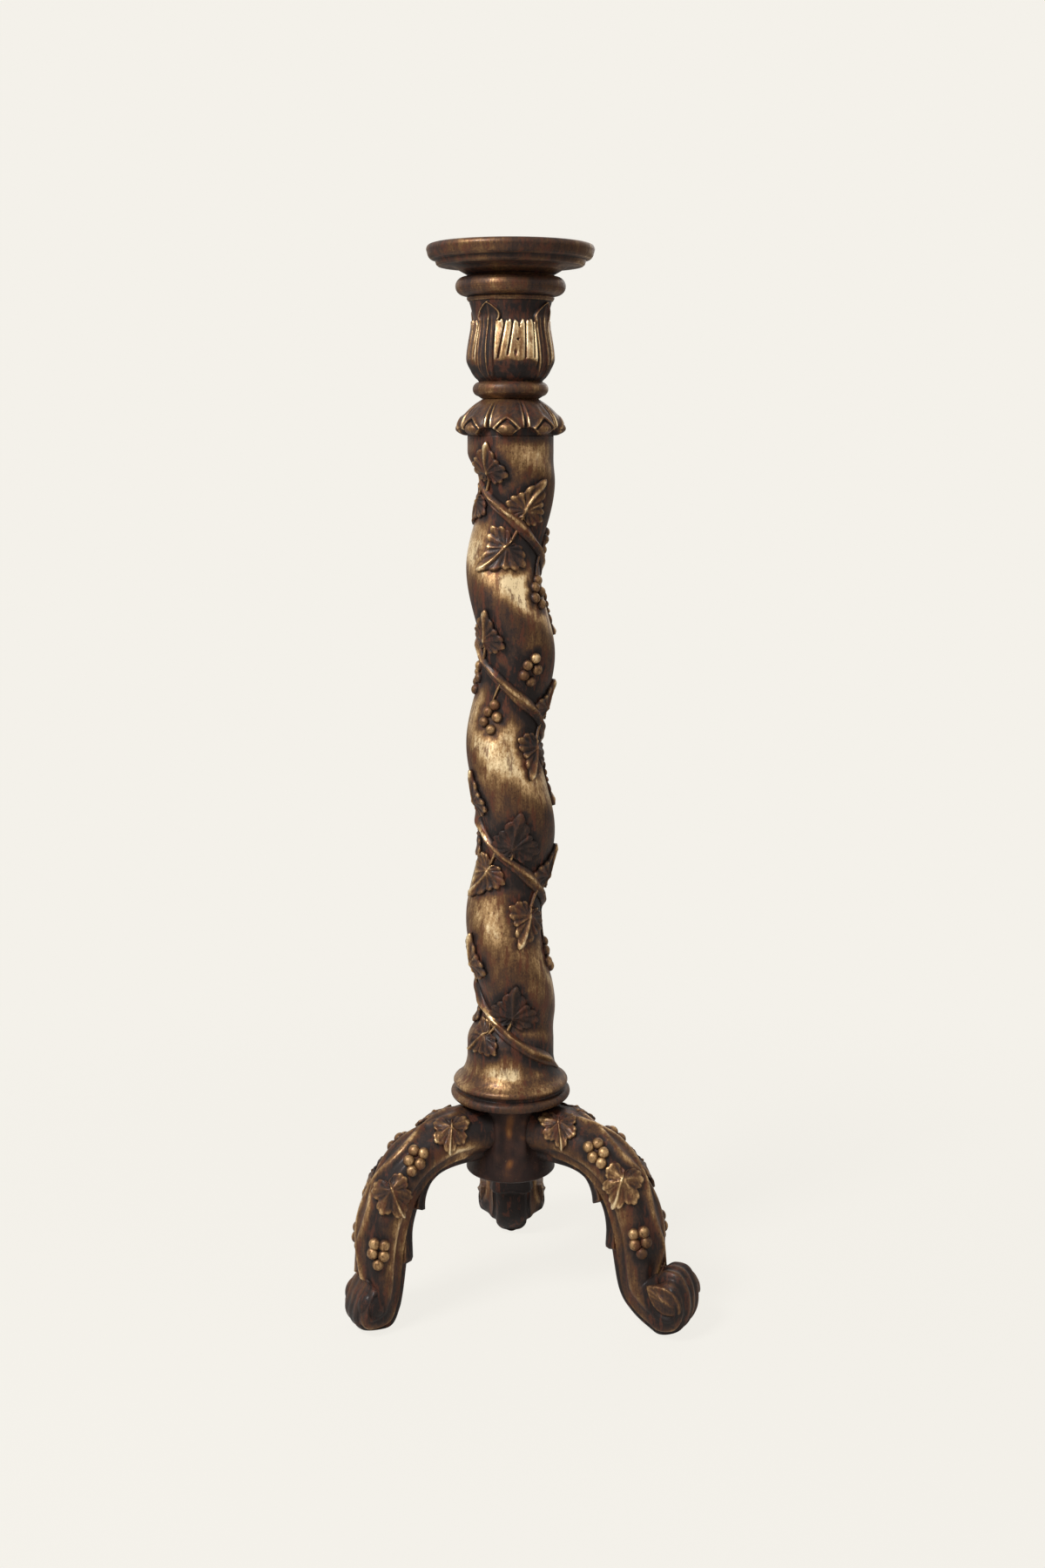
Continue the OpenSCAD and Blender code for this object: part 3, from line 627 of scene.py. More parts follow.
# Height, and share of the petals' radius between two petals and at the middle of one
COLLAR_ROWS = [
    [42, 0.5, 0.5], [40, 0.54, 0.55], [36, 0.63, 0.645], [31, 0.705, 0.735], [26, 0.77, 0.81],
    [21, 0.815, 0.875], [16, 0.84, 0.92], [12, 0.84, 0.95], [8, 0.82, 0.955], [5, 0.797, 0.94],
    [2.5, 0.785, 0.9], [0.6, 0.785, 0.84], [0, 0.78, 0.79],
]


def collar(finish):
    """A domed collar whose lower edge curls out into eight hooded petals. A petal stands out by 1
    less the square of the bearing from its middle, to the power 0.6. A pointed rim with a trench
    below it makes the hood, and the lip swells under it. Two thin ribs run down the dome between
    petals, and the edge is cut back to the shaft there."""
    a = bearings(504)
    t = np.linspace(len(COLLAR_ROWS) - 1, 0, 190)[:, None]
    half = PETAL_TURN / 2
    off = np.abs(from_nearest(a, PETAL_AZ, PETAL_TURN)) / half
    on = np.clip(1 - off * off, 0, 1) ** 0.6
    rows = curve(COLLAR_ROWS, t)
    high = rows[..., 0]
    r = PETAL_R * mix(rows[..., 1], rows[..., 2], on)
    arch = 21 - 13 * (off / 0.62) ** 1.4
    rim = bell(high - arch, 2.8) * ease((0.76 - off) / 0.1)
    trench = bell(high - arch + 4, 1.5) * ease((0.58 - off) / 0.15)
    swell = bell(high - 7.5, 6) * bell(off, 0.36)
    knob = bell(off - 0.68, 0.1) * bell(high - 6.5, 4.5)
    ribs = bell(off - 0.86, 0.055) * ease((high - 8) / 3) * ease((41 - high) / 9)
    seam = bell(off - 1, 0.07) * ease((high - 8) / 3) * ease((41 - high) / 9)
    flute = np.cos(np.radians(off * half * 32)) * ease((high - 22) / 6) * ease((41 - high) / 12)
    gap = ease((9.5 * ease((off - 0.1) / 0.72) - high) / 2)
    r = r + 2.2 * rim - 2.0 * trench + 2.6 * swell + 1.6 * knob + 1.5 * ribs - 1.2 * seam + 0.35 * flute
    r = mix(r, COLUMN_R + 0.6, gap)
    r = r + 0.18 * ring_noise(a, high, 33, 9, 25)
    r = np.minimum(r, PETAL_R)
    p = polar(r, a, COLUMN_TOP + high)
    wear_and_light = relief(p, 9, 0.9) * 0.7 + 0.04 + 0.08 * rim + 0.3 * ribs * bell(high - 15, 8) + 0.2 * swell
    # Painted shade: darker in the trench under each hood and where the edge is cut back between petals.
    wear_and_light = wear_and_light - 0.3 * trench - 0.4 * gap
    piece("collar", [capped(p, wear_and_light)], finish)


# ---- Column ----

FLARE_H = 30
# Share of the flare's height and share of how far it spreads
FLARE_ROWS = [
    [0, 0.96], [0.03, 0.985], [0.13, 0.975], [0.19, 0.84], [0.3, 0.55], [0.46, 0.31], [0.68, 0.12],
    [1, 0], [1.2, 0],
]
# Share of the column's height, degrees from the vine, size, and tilt in degrees
COLUMN_LEAVES = [
    [0.959, 83, 0.96, 174], [0.935, -95, 0.9, -40], [0.899, 69, 1, 155], [0.889, -73, 1, -40],
    [0.818, -95, 1.1, -48], [0.8, 76, 1, 170], [0.723, -95, 1, -25], [0.702, 86, 1, 168],
    [0.672, -95, 1, -30], [0.591, 62, 0.9, 165], [0.507, -98, 1, -23],
    [0.46, -95, 1, -30], [0.451, 76, 1, 170], [0.388, 64, 1.1, 172], [0.365, -95, 1, -35],
    [0.334, 67, 1, 165], [0.321, -90, 1, -33], [0.292, 75, 1, 165], [0.251, -104, 1, -25],
    [0.245, 75, 1, 175], [0.204, 100, 1, 170], [0.146, -95, 1, -35], [0.131, 68, 1.05, 174],
    [0.102, -95, 0.95, -30], [0.075, -60, 0.85, -50],
]
# Those of them, counted from 0, whose gilding is nearly gone
DULL_LEAVES = (13, 22)
# Share of the column's height and degrees from the vine
COLUMN_BUNCHES = [
    [0.831, 50], [0.76, -107], [0.643, 77], [0.625, -75], [0.57, -90],
    [0.555, 75], [0.507, 75], [0.409, -95], [0.198, -122],
]


def twist_share(z):
    """0 on the plain ends of the column, 1 where it twists in full."""
    return ease((z - COLUMN_Z - FLARE_H - 18) / 34) * ease((COLUMN_TOP - 17 - z) / 36)


def crest_az(z):
    """Bearing to which the twist leans at height z, in degrees."""
    return 360 * (COLUMN_TOP - 52 - z) / TWIST_PITCH


def vine_az(z):
    """Bearing of the vine, across the valley of the twist, and further round at the foot."""
    return crest_az(z) + 180 + mix(47, 10, (z - COLUMN_Z) / COLUMN_H)


def column_face(a, z):
    """A round section thrown off the axis, turning once in each pitch, with a flare at the foot."""
    s = twist_share(z)
    throw = TWIST_THROW * s
    r = mix(COLUMN_R, TWIST_R, s)
    off = np.radians(a - crest_az(z))
    body = throw * np.cos(off) + np.sqrt(r * r - (throw * np.sin(off)) ** 2)
    flare = np.where(z < COLUMN_Z + FLARE_H, table(FLARE_ROWS, (z - COLUMN_Z) / FLARE_H), 0)
    return polar(body + (FLARE_R - COLUMN_R) * flare, a, z)


def column(finish, marks):
    """The shaft: shallow ripples over the twisted round. Its colour is darker round the ornament,
    with dirt and painted shade, and just under the collar, with painted shade. It is lighter on
    the flare. Painted light makes the slopes that face up lighter and those that face down darker,
    and painted highlights lighten two patches at the front."""
    a = bearings(200)
    z = np.linspace(COLUMN_Z, COLUMN_TOP, 480)[:, None]
    p = column_face(a, z)
    n = away(column_face, a, z, 1)
    # Near the vine, leaves and grapes the ground sinks a little and is darker: dirt, and painted shade
    # where they stand off the shaft.
    dirt_and_shade = near_ornament(p, marks, 12)
    p = p + n * (0.22 * ring_noise(a, z, 41, 12, 45) - 0.5 * dirt_and_shade)[..., None]
    lean = np.cos(np.radians(a - crest_az(z)))
    # Painted light: slopes that face up are lighter and slopes that face down darker, as under a lamp
    # above.
    top_light = ease((n[..., 2] - 0.04) / 0.2) * ease((z - COLUMN_Z - 24) / 20)
    top_light = top_light * mix(0.5, 1, ease((z - COLUMN_Z - 150) / 200))
    wear_and_light = 0.34 + 0.08 * lean * twist_share(z) + 0.46 * top_light + 0.3 * np.clip(n[..., 2], -0.3, 0.3)
    # Painted shade just under the collar, and dirt with painted shade round the ornament.
    wear_and_light = wear_and_light - 0.6 * dirt_and_shade ** 0.8 - 0.3 * ease((z - COLUMN_TOP + 14) / 12)
    wear_and_light = wear_and_light - 0.2 * bell(z - COLUMN_Z - 14, 4) + 0.12 * ease((COLUMN_Z + 30 - z) / 16)
    # Painted highlights: a patch on the front of the flare and a patch high on the front of the shaft.
    wear_and_light = wear_and_light + 0.5 * bell(z - COLUMN_Z - 24, 13) * facing(a, -100, 0.86, 0.1)
    wear_and_light = wear_and_light + 0.32 * bell(z - COLUMN_TOP + 26, 22) * facing(a, -72, 0.4, 0.5)
    piece("column", [capped(p, wear_and_light)], finish, suffix="_twisted")


# ---- Vine, leaves and grapes ----

# The vine's section: shares of its width across and of its thickness out
VINE_SECTION = [
    [-0.52, -0.2], [-0.5, 0.18], [-0.42, 0.42], [-0.33, 0.5], [-0.25, 0.44], [-0.14, 0.62], [0.0, 0.93],
    [0.1, 1.06], [0.19, 0.98], [0.32, 0.62], [0.44, 0.32], [0.52, -0.2],
]


def vine():
    """The vine's skin. Its section, a sharp main strand with a small one under it, is carried
    down the column. It swells, thins and shifts a little on the way, and tapers at both ends."""
    t = np.linspace(0, 1, 760)[:, None]
    z = mix(COLUMN_Z + 16, COLUMN_TOP - 45, t)
    a = vine_az(z) + 2.2 * np.sin(t * 41 + 1) + 1.3 * np.sin(t * 97)
    around = np.radians(1) * np.linalg.norm(column_face(a, z)[..., :2], axis=-1)
    rise = np.arctan2(TWIST_PITCH, 360 * around)
    q = curve(VINE_SECTION, np.linspace(0, len(VINE_SECTION) - 1, 26))[None]
    under = np.stack([np.linspace(0.5, -0.5, 8)[1:-1], np.full(6, -0.2)], -1)[None]
    q = np.concatenate([q, under], 1)
    swell = 1 + 0.1 * np.sin(t * 63) + 0.06 * np.sin(t * 151 + 2)
    taper = mix(0.25, 1, ease(np.minimum(t, 1 - t) / 0.03)) * swell
    across = q[..., 0] * VINE_W * 1.45 * taper
    pa = a + across * np.sin(rise) / around
    pz = z + across * np.cos(rise)
    n = away(column_face, a, z, 1)
    knot = 1 + 0.12 * np.sin(t * 230 + q[..., 0] * 6)
    p = column_face(pa, pz) + n * (0.3 + q[..., 1] * VINE_T * 1.12 * taper * knot)[..., None]
    wear_and_light = np.clip(0.1 + 0.62 * q[..., 1] + 0.12 * np.sin(t * 83), 0, 1)
    return p, wear_and_light


# Outlines of the leaves: degrees from the tip, and share of the length from the leaf's middle
LEAF_EDGE = [
    [0, 0.73], [10, 0.62], [20, 0.52], [40, 0.42], [60, 0.43], [80, 0.5], [95, 0.54],
    [115, 0.46], [135, 0.4], [155, 0.3], [172, 0.2], [180, 0.17],
]
LOBED_EDGE = [
    [0, 0.62], [12, 0.55], [23, 0.5], [31, 0.42], [40, 0.47], [55, 0.54], [70, 0.52], [79, 0.46],
    [86, 0.4], [95, 0.45], [110, 0.5], [127, 0.48], [143, 0.42], [158, 0.33], [170, 0.25], [180, 0.2],
]
FOOT_LEAF_EDGE = [[0, 0.56], [15, 0.45], [45, 0.33], [90, 0.29], [135, 0.35], [165, 0.45], [180, 0.5]]
# Kinds of leaf: outline, share of the length from its place to its middle, bearings of its ribs,
# scallops to the turn, how deep they are, and how far the lobes rise
BROAD = (LEAF_EDGE, 0.2, (38, 74, -38, -74), 15, 0.14, 0.3)
LOBED = (LOBED_EDGE, 0.04, (60, 115, -60, -115), 19, 0.07, 1.1)
PLAIN = (FOOT_LEAF_EDGE, 0.0, (15, -15), 2, 0.0, 0.3)


def leaf(face, a, b, step, length, tilt, thick, seed, kind=BROAD, back=-0.5):
    """A leaf laid on a surface. Its outline is a table by bearing from the tip, scalloped. Its
    face rises to a bold midrib, with ribs that fan out, and turns down to a closed back at a given
    height. Rings run from the back's middle round the edge to the middle of the face."""
    rows, middle, rib_turns, scallops, depth, lobe_rise = kind
    wave = np.random.default_rng(seed).uniform(0, PHASES)
    t = bearings(112) - 180
    edge = table(rows, np.abs(t))
    lobe = (edge / edge.max() - 0.8) * lobe_rise
    edge = edge * (1 + 0.05 * np.sin(np.radians(t) * 2 + wave))
    scallop = np.abs(np.cos(np.radians(t * scallops / 2))) ** 0.7
    edge = edge * (1 - 0.7 * depth + depth * scallop)
    out = np.concatenate([np.linspace(0.06, 1, 7), np.linspace(1.0, 0.04, 22)])[:, None]
    front = np.concatenate([np.zeros(7), np.ones(22)])[:, None]
    fan = ease((out - 0.25) / 0.5) * ease(depth / 0.05)
    fine = min(1, depth / 0.12)
    rise = 0.8 - 0.3 * out ** 3 + (0.4 * fine * (scallop - 0.6) + lobe) * fan
    x = edge * out * np.sin(np.radians(t))
    y = edge * out * np.cos(np.radians(t))
    spine = bell(x - 0.03 * np.sin(5 * y + wave), 0.034) * ease((y + middle + 0.3) / 0.1)
    spine = spine * ease((1.02 - out) / 0.16) * mix(0.55, 1, fine)
    ribs = 0
    for slope in rib_turns:
        turn = math.radians(slope)
        across = x * math.cos(turn) - (y + 0.04) * math.sin(turn)
        along = x * math.sin(turn) + (y + 0.04) * math.cos(turn)
        ribs = ribs + bell(across, 0.026) * ease(along / 0.06) * ease((0.46 - along) / 0.08)
    ribs = np.clip(ribs, 0, 1)
    dish = -0.2 * bell(out - 0.55, 0.22) + 0.16 * bell(out - 0.92, 0.08)
    lift = rise + 0.5 * spine + 0.22 * ribs + dish
    lift = front * (thick * lift + 0.3 - back) + back
    turn = math.radians(tilt)
    side = x * math.cos(turn) + (y - middle) * math.sin(turn)
    down = -x * math.sin(turn) + (y - middle) * math.cos(turn)
    along_a, along_b = scales_at(face, a, b, step)
    pa = a + length * side / along_a
    pb = b - length * down / along_b
    p = face(pa, pb) + away(face, pa, pb, step) * lift[..., None]
    wear_and_light = 0.2 + 0.5 * spine + (0.55 * fine * (scallop - 0.55) + lobe) * fan
    wear_and_light = wear_and_light + 0.3 * bell(out - 0.93, 0.1) + 0.25 * ribs
    return p, np.clip(front * wear_and_light, 0, 1)


def stalk(start, middle, end, r):
    """A thin round stem laid on the column along a bow, in rings that shrink towards its end."""
    t = np.linspace(0, 1, 22)[:, None]
    a, b = (bow(start[k], middle[k], end[k], t) for k in (0, 1))
    line = column_face(a, b)
    n = away(column_face, a, b, 1)
    across = np.cross(n, unit(np.gradient(line[:, 0], axis=0)[:, None]))
    turn = np.radians(bearings(10))
    size = r * mix(1.15, 0.85, t)
    ring = np.cos(turn)[..., None] * across + np.sin(turn)[..., None] * n * 1.2
    p = line + n * 0.9 + size[..., None] * ring
    return p[::-1], 0.35 + 0.4 * np.sin(turn) + 0 * t


# Shortest and longest stem, and the radius at which the way round the shaft is measured
STALK_MIN = 3
STALK_MAX = 48
STALK_R = 45


def stalk_to_vine(a, z, tilt, length, r):
    """A stem from a leaf's base or a bunch's top to the vine, unless it is too near or too far."""
    to_degree = math.radians(STALK_R)
    over = length * math.sin(math.radians(tilt)) / to_degree
    up = length * math.cos(math.radians(tilt))
    base_a = a - over
    base_z = z + up
    z_vine = np.linspace(z - 70, z + 70, 281)
    gap_a = from_nearest(vine_az(z_vine), base_a)
    apart = np.hypot(gap_a * to_degree, z_vine - base_z)
    best = int(np.argmin(apart))
    if apart[best] > STALK_MAX or apart[best] < STALK_MIN:
        return []
    end = (base_a + gap_a[best], z_vine[best])
    middle = (base_a - 0.15 * over, base_z + 0.15 * up)
    return [stalk(end, middle, (a - 0.5 * over, z + 0.5 * up), r)]


# Bunches: each grape's place, in radii across and down
BUNCH = [[0.6, -2.4], [-0.8, -1], [1.3, 0], [-1.3, 1.1], [0.3, 2.5]]
LEG_BUNCH = [[0.5, -2.2], [-1.0, -0.85], [1.15, -0.5], [-1.4, 1.05], [0.45, 1.25]]


def grapes(face, a, b, step, r, seed, places=BUNCH, tilt=0):
    """A bunch of round grapes in staggered rows, each a sphere sunk a little into the wood."""
    rng = np.random.default_rng(seed)
    along_a, along_b = scales_at(face, a, b, step)
    up = np.radians(np.linspace(-84, 84, 15))[:, None]
    turn = np.radians(bearings(28))
    skins = []
    lean = math.radians(tilt)
    for across, down in places:
        side = across * math.cos(lean) + down * math.sin(lean)
        drop = down * math.cos(lean) - across * math.sin(lean)
        pa = a + 0.98 * side * r / along_a
        pb = b - 0.98 * drop * r / along_b
        n = away(face, pa, pb, step)
        ea = slopes(face, pa, pb, step)[0]
        ea = ea / np.linalg.norm(ea)
        eb = np.cross(n, ea)
        size = r * rng.uniform(1.04, 1.14)
        centre = face(pa, pb) + n * 0.05 * r
        p = (np.cos(up) * np.cos(turn))[..., None] * ea + (np.cos(up) * np.sin(turn))[..., None] * eb
        p = centre + size * (p + np.sin(up)[..., None] * n * 0.92)
        skins.append((p, mix(0.15, 0.78, ease((np.sin(up) + 0.3) / 1.1)) + 0 * turn))
    return skins


def mirrored(skins):
    """The same skins on the other side of a leg that runs out along x."""
    return [(p[::-1] * [1, -1, 1], wear_and_light[::-1]) for p, wear_and_light in skins]


# ---- Legs ----

# Down the arch, as shares: reach and height of the under and of the upper side, and half width
ARCH_ROWS = [
    [0.12, 1, 0.12, 1, 1.08], [0.35, 0.997, 0.37, 0.98, 1.03], [0.48, 0.97, 0.56, 0.93, 1],
    [0.57, 0.91, 0.73, 0.855, 1], [0.64, 0.81, 0.865, 0.74, 1], [0.685, 0.665, 0.955, 0.59, 1],
    [0.715, 0.51, 0.995, 0.45, 1],
]
# Outer side of a scrolled foot and of a block-like one: place along the run and share of the height
SCROLL = [
    [0.05, 0.58], [0.36, 0.27], [0.75, 0.06], [1.05, -0.012], [1.58, 0.11], [1.87, 0.38], [1.87, 0.71],
    [1.62, 0.97], [1.22, 1.0], [0.96, 0.9],
]
BLOCK = [
    [0.0, 0.58], [0.22, 0.27], [0.52, 0.03], [1.05, -0.012], [1.62, 0.05], [1.88, 0.26], [1.8, 0.57],
    [1.5, 0.88], [1.15, 1.0], [0.96, 0.9],
]
# For those rows: half width, and how far the section's inner end has moved from the throat to the
# middle of the scroll
FOOT_WIDTHS = [
    [1.02, 0], [1.06, 0], [1.1, 0.2], [1.1, 0.6], [1.12, 0.9], [1.1, 1], [1.05, 1], [1.0, 1], [0.95, 1],
    [0.88, 0.9],
]
# A leg's section from its under side to its ridge: shares of the half width and of the depth
LEG_SECTION = [
    [0, 0], [0.28, 0.01], [0.48, 0.045], [0.59, 0.12], [0.64, 0.22], [0.87, 0.34], [1, 0.5],
    [0.96, 0.69], [0.77, 0.86], [0.42, 0.97], [0, 1.02],
]
# Number of the last row
LEG_LAST = len(ARCH_ROWS) + len(FOOT_WIDTHS) - 1
# Row down the leg and place round its section, then a leaf's size and tilt or a bunch's tilt
LEG_LEAVES = [[1.15, 7.9, 0.78, 245], [3.9, 7.5, 0.9, 232]]
LEG_BUNCHES = [[2.6, 7.7, 42], [5.75, 7.45, 15]]
# Bearing, how far the foot kicks out past the knee, its height, how many rows lower the ornament
# sits, how many times wider the foot is, and its outer side
LEGS = {
    "right": (-26.5, 42, 71, 0, 1, SCROLL),
    "left": (206.5, 15, 64, 0.35, 1, BLOCK),
    "back": (90, 26, 71, 0.15, 1.28, SCROLL),
}


def leg_rows(kick, foot_h, spread, outline):
    """Rows down a leg: reach and height of the under side and of the upper side, half width, and
    how far the section is rounded."""
    reach = KNEE_R + kick
    sole = reach - FOOT_RUN
    sizes = (KNEE_R, ARCH_H, KNEE_R, LEG_TOP, LEG_HALF_W)
    arch = [[share * size for share, size in zip(row, sizes)] + [0] for row in ARCH_ROWS]
    foot = []
    for i, ((run, rise), (width, inward)) in enumerate(zip(outline, FOOT_WIDTHS)):
        along = mix(0.75 * KNEE_R, sole, run) if run < 1 else mix(sole, reach, run - 1)
        inner = mix(KNEE_R - 1, mix(sole, reach, 0.46), inward)
        inner_z = mix(0.97, 0.52, inward) * foot_h
        wide = width * LEG_HALF_W * mix(1, spread, float(ease((i + 1) / 4)))
        foot.append([along, rise * foot_h, inner, inner_z, wide, 0.8 * float(ease(i / 5))])
    return np.array(arch + foot)


def leg_face(rows):
    """Surface of a leg: w runs round its section, with 0 at the under side and -10 and 10 at the
    ridge, and t runs down its rows."""
    def face(w, t):
        w, t = np.broadcast_arrays(np.asarray(w, float), np.asarray(t, float))
        r = curve(rows, t)
        c = np.abs(w)
        place = np.where(c > 10, 20 - c, c)
        s = curve(LEG_SECTION, place)
        across = s[..., 0] * np.where(w < 0, -1, 1) * np.where(c > 10, -1, 1)
        turn = np.radians(18 * w)
        rounder = r[..., 5] * ease((place - 3) / 2.5)
        across = mix(across, np.sin(turn), rounder)
        deep = mix(s[..., 1], (1 - np.cos(turn)) / 2, rounder)
        return np.stack([
            mix(r[..., 0], r[..., 2], deep),
            across * r[..., 4],
            np.maximum(0, mix(r[..., 1], r[..., 3], deep)),
        ], -1)
    return face


def turned_to(p, az):
    """Points turned about the stand's axis to the bearing az."""
    c = math.cos(math.radians(az))
    s = math.sin(math.radians(az))
    return p @ np.array([[c, s, 0], [-s, c, 0], [0, 0, 1]])


def cheek(u, z, across, high, side):
    """A smooth swelling on the side of a foot: half of an egg, closed inside the wood."""
    up = np.radians(np.linspace(-89, 89, 40))[:, None]
    turn = np.radians(bearings(72))
    x = u + across * np.cos(up) * np.cos(turn)
    y = side * (0.62 * LEG_HALF_W + 0.46 * LEG_HALF_W * np.sin(up)) + 0 * turn
    p = np.stack([x, y, np.maximum(z + high * np.cos(up) * np.sin(turn), 0.2)], -1)
    return (p if side > 0 else p[:, ::-1]), 0.26 + 0.12 * ring_noise(turn * 57.3, up * 30, 83, 8, 20)


def leg(side, finish, leaf_finish, grape_finish):
    """One leg with its leaves and bunches: the section carried down its rows, with a bead along
    each lower edge, two strands of vine on the ridge, grooves round the scroll, and two scales on
    the inner face, each of which swells down to a step."""
    az, kick, foot_h, shift, spread, outline = LEGS[side]
    scrolled = outline is SCROLL
    splayed = spread > 1
    face = leg_face(leg_rows(kick, foot_h, spread, outline))
    w = np.linspace(-10, 10, 181)[None, :-1]
    t = np.linspace(0, LEG_LAST, 300)[:, None]
    p = face(w, t)
    n = away(face, w, t, 0.05)
    c = np.abs(w)
    point = (spread - 1) * (0.6 * ease((t - 6) / 2) + 1.8 * bell(t - 9.9, 0.7))
    p[..., 1] *= 1 - point * ease((5.2 - c) / 1.6)
    shaft = ease((12.6 - t) / 2) * ease((t - 0.6) / 0.5)
    bead = 3.0 * bell(c - 4.05, 0.4) - 1.2 * bell(c - 4.95, 0.34) - 1.0 * bell(c - 3.1, 0.34)
    strands = 0
    for phase, high in ((0, 3.6), (3.1, 3)):
        line = (w - 10 - 0.8 * np.sin(1.5 * t + phase) + 30) % 20 - 10
        strands = np.maximum(strands, bell(line, 0.4) * high)
    strands = (strands - 1.2 * bell(c - 8.6, 0.5)) * ease((t - 0.8) / 0.5) * ease((9.4 - t) / 1.2)
    foot = ease((t - 8.6) / 1.6) * (1 if scrolled else 0.3)
    grooves = np.cos(2 * np.pi * p[..., 1] / 12.5) * ease(4.6 - c) - 1.2 * bell(c - 6.4, 0.45)
    hollow = bell(c - 6, 1.4) * bell(t - 9.6, 1.5)
    inner = ease(4.7 - c) * ease((t - 2) / 2) * ease((9.4 - t) / 2)
    scales = 0
    for tip, high in ((3.85, 9), (6.3 if splayed else 5.85, 7)):
        up = t - shift - tip - 0.12 * ease(c / 3)
        scales = scales + high * np.clip(1 + up / 1.5, 0, 1) ** 1.6 * ease((0.06 - up) / 0.12)
    scales = scales * ease((3.9 - c) / 0.6)
    lift = bead * shaft + strands + 0.9 * grooves * foot - 3 * hollow + 2.5 * inner + scales
    lift = lift + 0.25 * ring_noise(w * 18, t * 12, 61 + len(side), 10, 20)
    p = p + n * lift[..., None]
    p[..., 2] = np.maximum(p[..., 2], 0)
    reach = KNEE_R + kick
    sole = reach - FOOT_RUN
    eye = (mix(sole, reach, 0.32), 0.64 * foot_h)

    def foot_side(u, z):
        """The side of the foot as a shallow dome over the middle of its scroll."""
        u, z = np.broadcast_arrays(u, z)
        dome = 0.006 * ((u - eye[0]) ** 2 + (z - eye[1]) ** 2)
        return np.stack([u, dome - 0.98 * spread * LEG_HALF_W, z], -1)

    leaves = []
    for k, (down, place, size, tilt) in enumerate(LEG_LEAVES):
        length = LEAF_LEN * size * 1.05
        leaves.append(leaf(face, place, down + shift, 0.1, length, tilt, LEAF_T * 1.15, 70 + k, LOBED))
    if scrolled:
        leaves.append(leaf(foot_side, *eye, 0.5, 1.1 * FOOT_RUN, -118, LEAF_T * 0.9, 77, PLAIN, -14))
    bunches = []
    for k, (down, place, tilt) in enumerate(LEG_BUNCHES):
        bunches += grapes(face, place, down + shift, 0.1, GRAPE_R * 1.04, 90 + k, LEG_BUNCH, tilt)
    leaves += mirrored(leaves)
    bunches += mirrored(bunches)
    # Darker round the leaves and grapes: dirt and painted shade.
    dirt_and_shade = near_ornament(p, sparse(leaves + bunches), 10)
    patchy = ring_noise(w * 18, t * 14, 31 + len(side), 9, 40)
    worn = 0.32 * bell(c - 5.4, 1.1) * (1 + 0.5 * patchy) - 0.16 * bell(c - 7.9, 0.8)
    # The bead's crest is lighter and the groove beside it darker. The under side strip is darker, being
    # bare of gilding, with painted shade.
    trim = 0.22 * bell(c - 4.05, 0.34) - 0.3 * ease((3.4 - c) / 0.5) - 0.2 * bell(c - 4.95, 0.3)
    wear_and_light = relief(p, 6, 1.0) * 0.5 + 0.12 + worn * ease((10 - t) / 2) + trim * shaft - 0.35 * dirt_and_shade
    wear_and_light = wear_and_light + 0.07 * strands - 0.35 * hollow + 0.16 * grooves * foot - 0.4 * ease((1.1 - t) / 0.9)
    # Painted shade on the inner face, which is also bare of gilding: slight on the front legs, deep on
    # the back leg, whose foot stands in shadow.
    wear_and_light = wear_and_light - (0.1 + 0.5 * splayed) * ease(4.6 - c) * ease((t - 3) / 2)
    skins = [(p, wear_and_light)]
    if not scrolled:
        middle = mix(sole, reach, 0.4)
        for m in (-1, 1):
            skins.append(cheek(middle, 0.5 * foot_h, 0.42 * FOOT_RUN, 0.27 * foot_h, m))
    skins = [(turned_to(q, az), np.clip(k, 0, 1)) for q, k in skins]
    leaves = [(turned_to(q, az), 0.9 * k + 0.1) for q, k in leaves]
    bunches = [(turned_to(q, az), k) for q, k in bunches]
    piece("leg_" + side, skins, finish)
    piece("leg_" + side + "_leaves", leaves, leaf_finish)
    piece("leg_" + side + "_grapes", bunches, grape_finish)


def hub(finish):
    """A drum that spreads to its foot and swells beside each leg, with a turned lip. Rubbed gold
    with a painted highlight shows in a band down its front and a spot below it, and rubbed gold in
    spots."""
    lip = [(-14, 0, 0.8), (-12, 2, 0.8), (-10, 4, 0.8)]
    foot = [(-2, 5, 1), (0, 7, 1.2), (-0.6, 14, 5)]
    corners = [(0, HUB_CLEAR, 0)] + steps_from(HUB_R, HUB_CLEAR, lip)
    corners += steps_from(HUB_R + HUB_SPREAD - 0.3, HUB_CLEAR, foot)
    corners += [(HUB_R - 1.5, HUB_CLEAR + 50, 16), (HUB_R - 2, HUB_TOP, 0.5), (0, HUB_TOP, 0)]
    r, z = rounded(corners)
    a = bearings(288)
    wall = ease((r - 38) / 4)
    r = r + 0.5 * ring_noise(a, z, 51, 9, 25) * ease(r / 30)
    fillet = 5 * wall * ease((HUB_TOP - 4 - z) / 16) * ease((z - HUB_CLEAR - 16) / 30)
    for az, *_ in LEGS.values():
        r = r + fillet * bell(np.abs(from_nearest(a, az)) - 45, 9)
    p = polar(np.maximum(r, AXIS_R), a, z)
    front = np.abs(from_nearest(a, -92))
    # Rubbed gold with a painted highlight: a band down the front and a spot below it.
    rubbed_and_highlight = 0.5 * bell(front, 7) * bell(z - HUB_CLEAR - 62, 14)
    rubbed_and_highlight = rubbed_and_highlight + 0.4 * bell(front - 1, 5) * bell(z - HUB_CLEAR - 26, 5)
    spots = 0.2 * ring_noise(a * 3, z, 57, 12, 14)
    piece("hub", [(p, relief(p, 6, 1.2) * 0.5 + (rubbed_and_highlight + spots) * wall)], finish, "_turned")


# ---- Stage ----

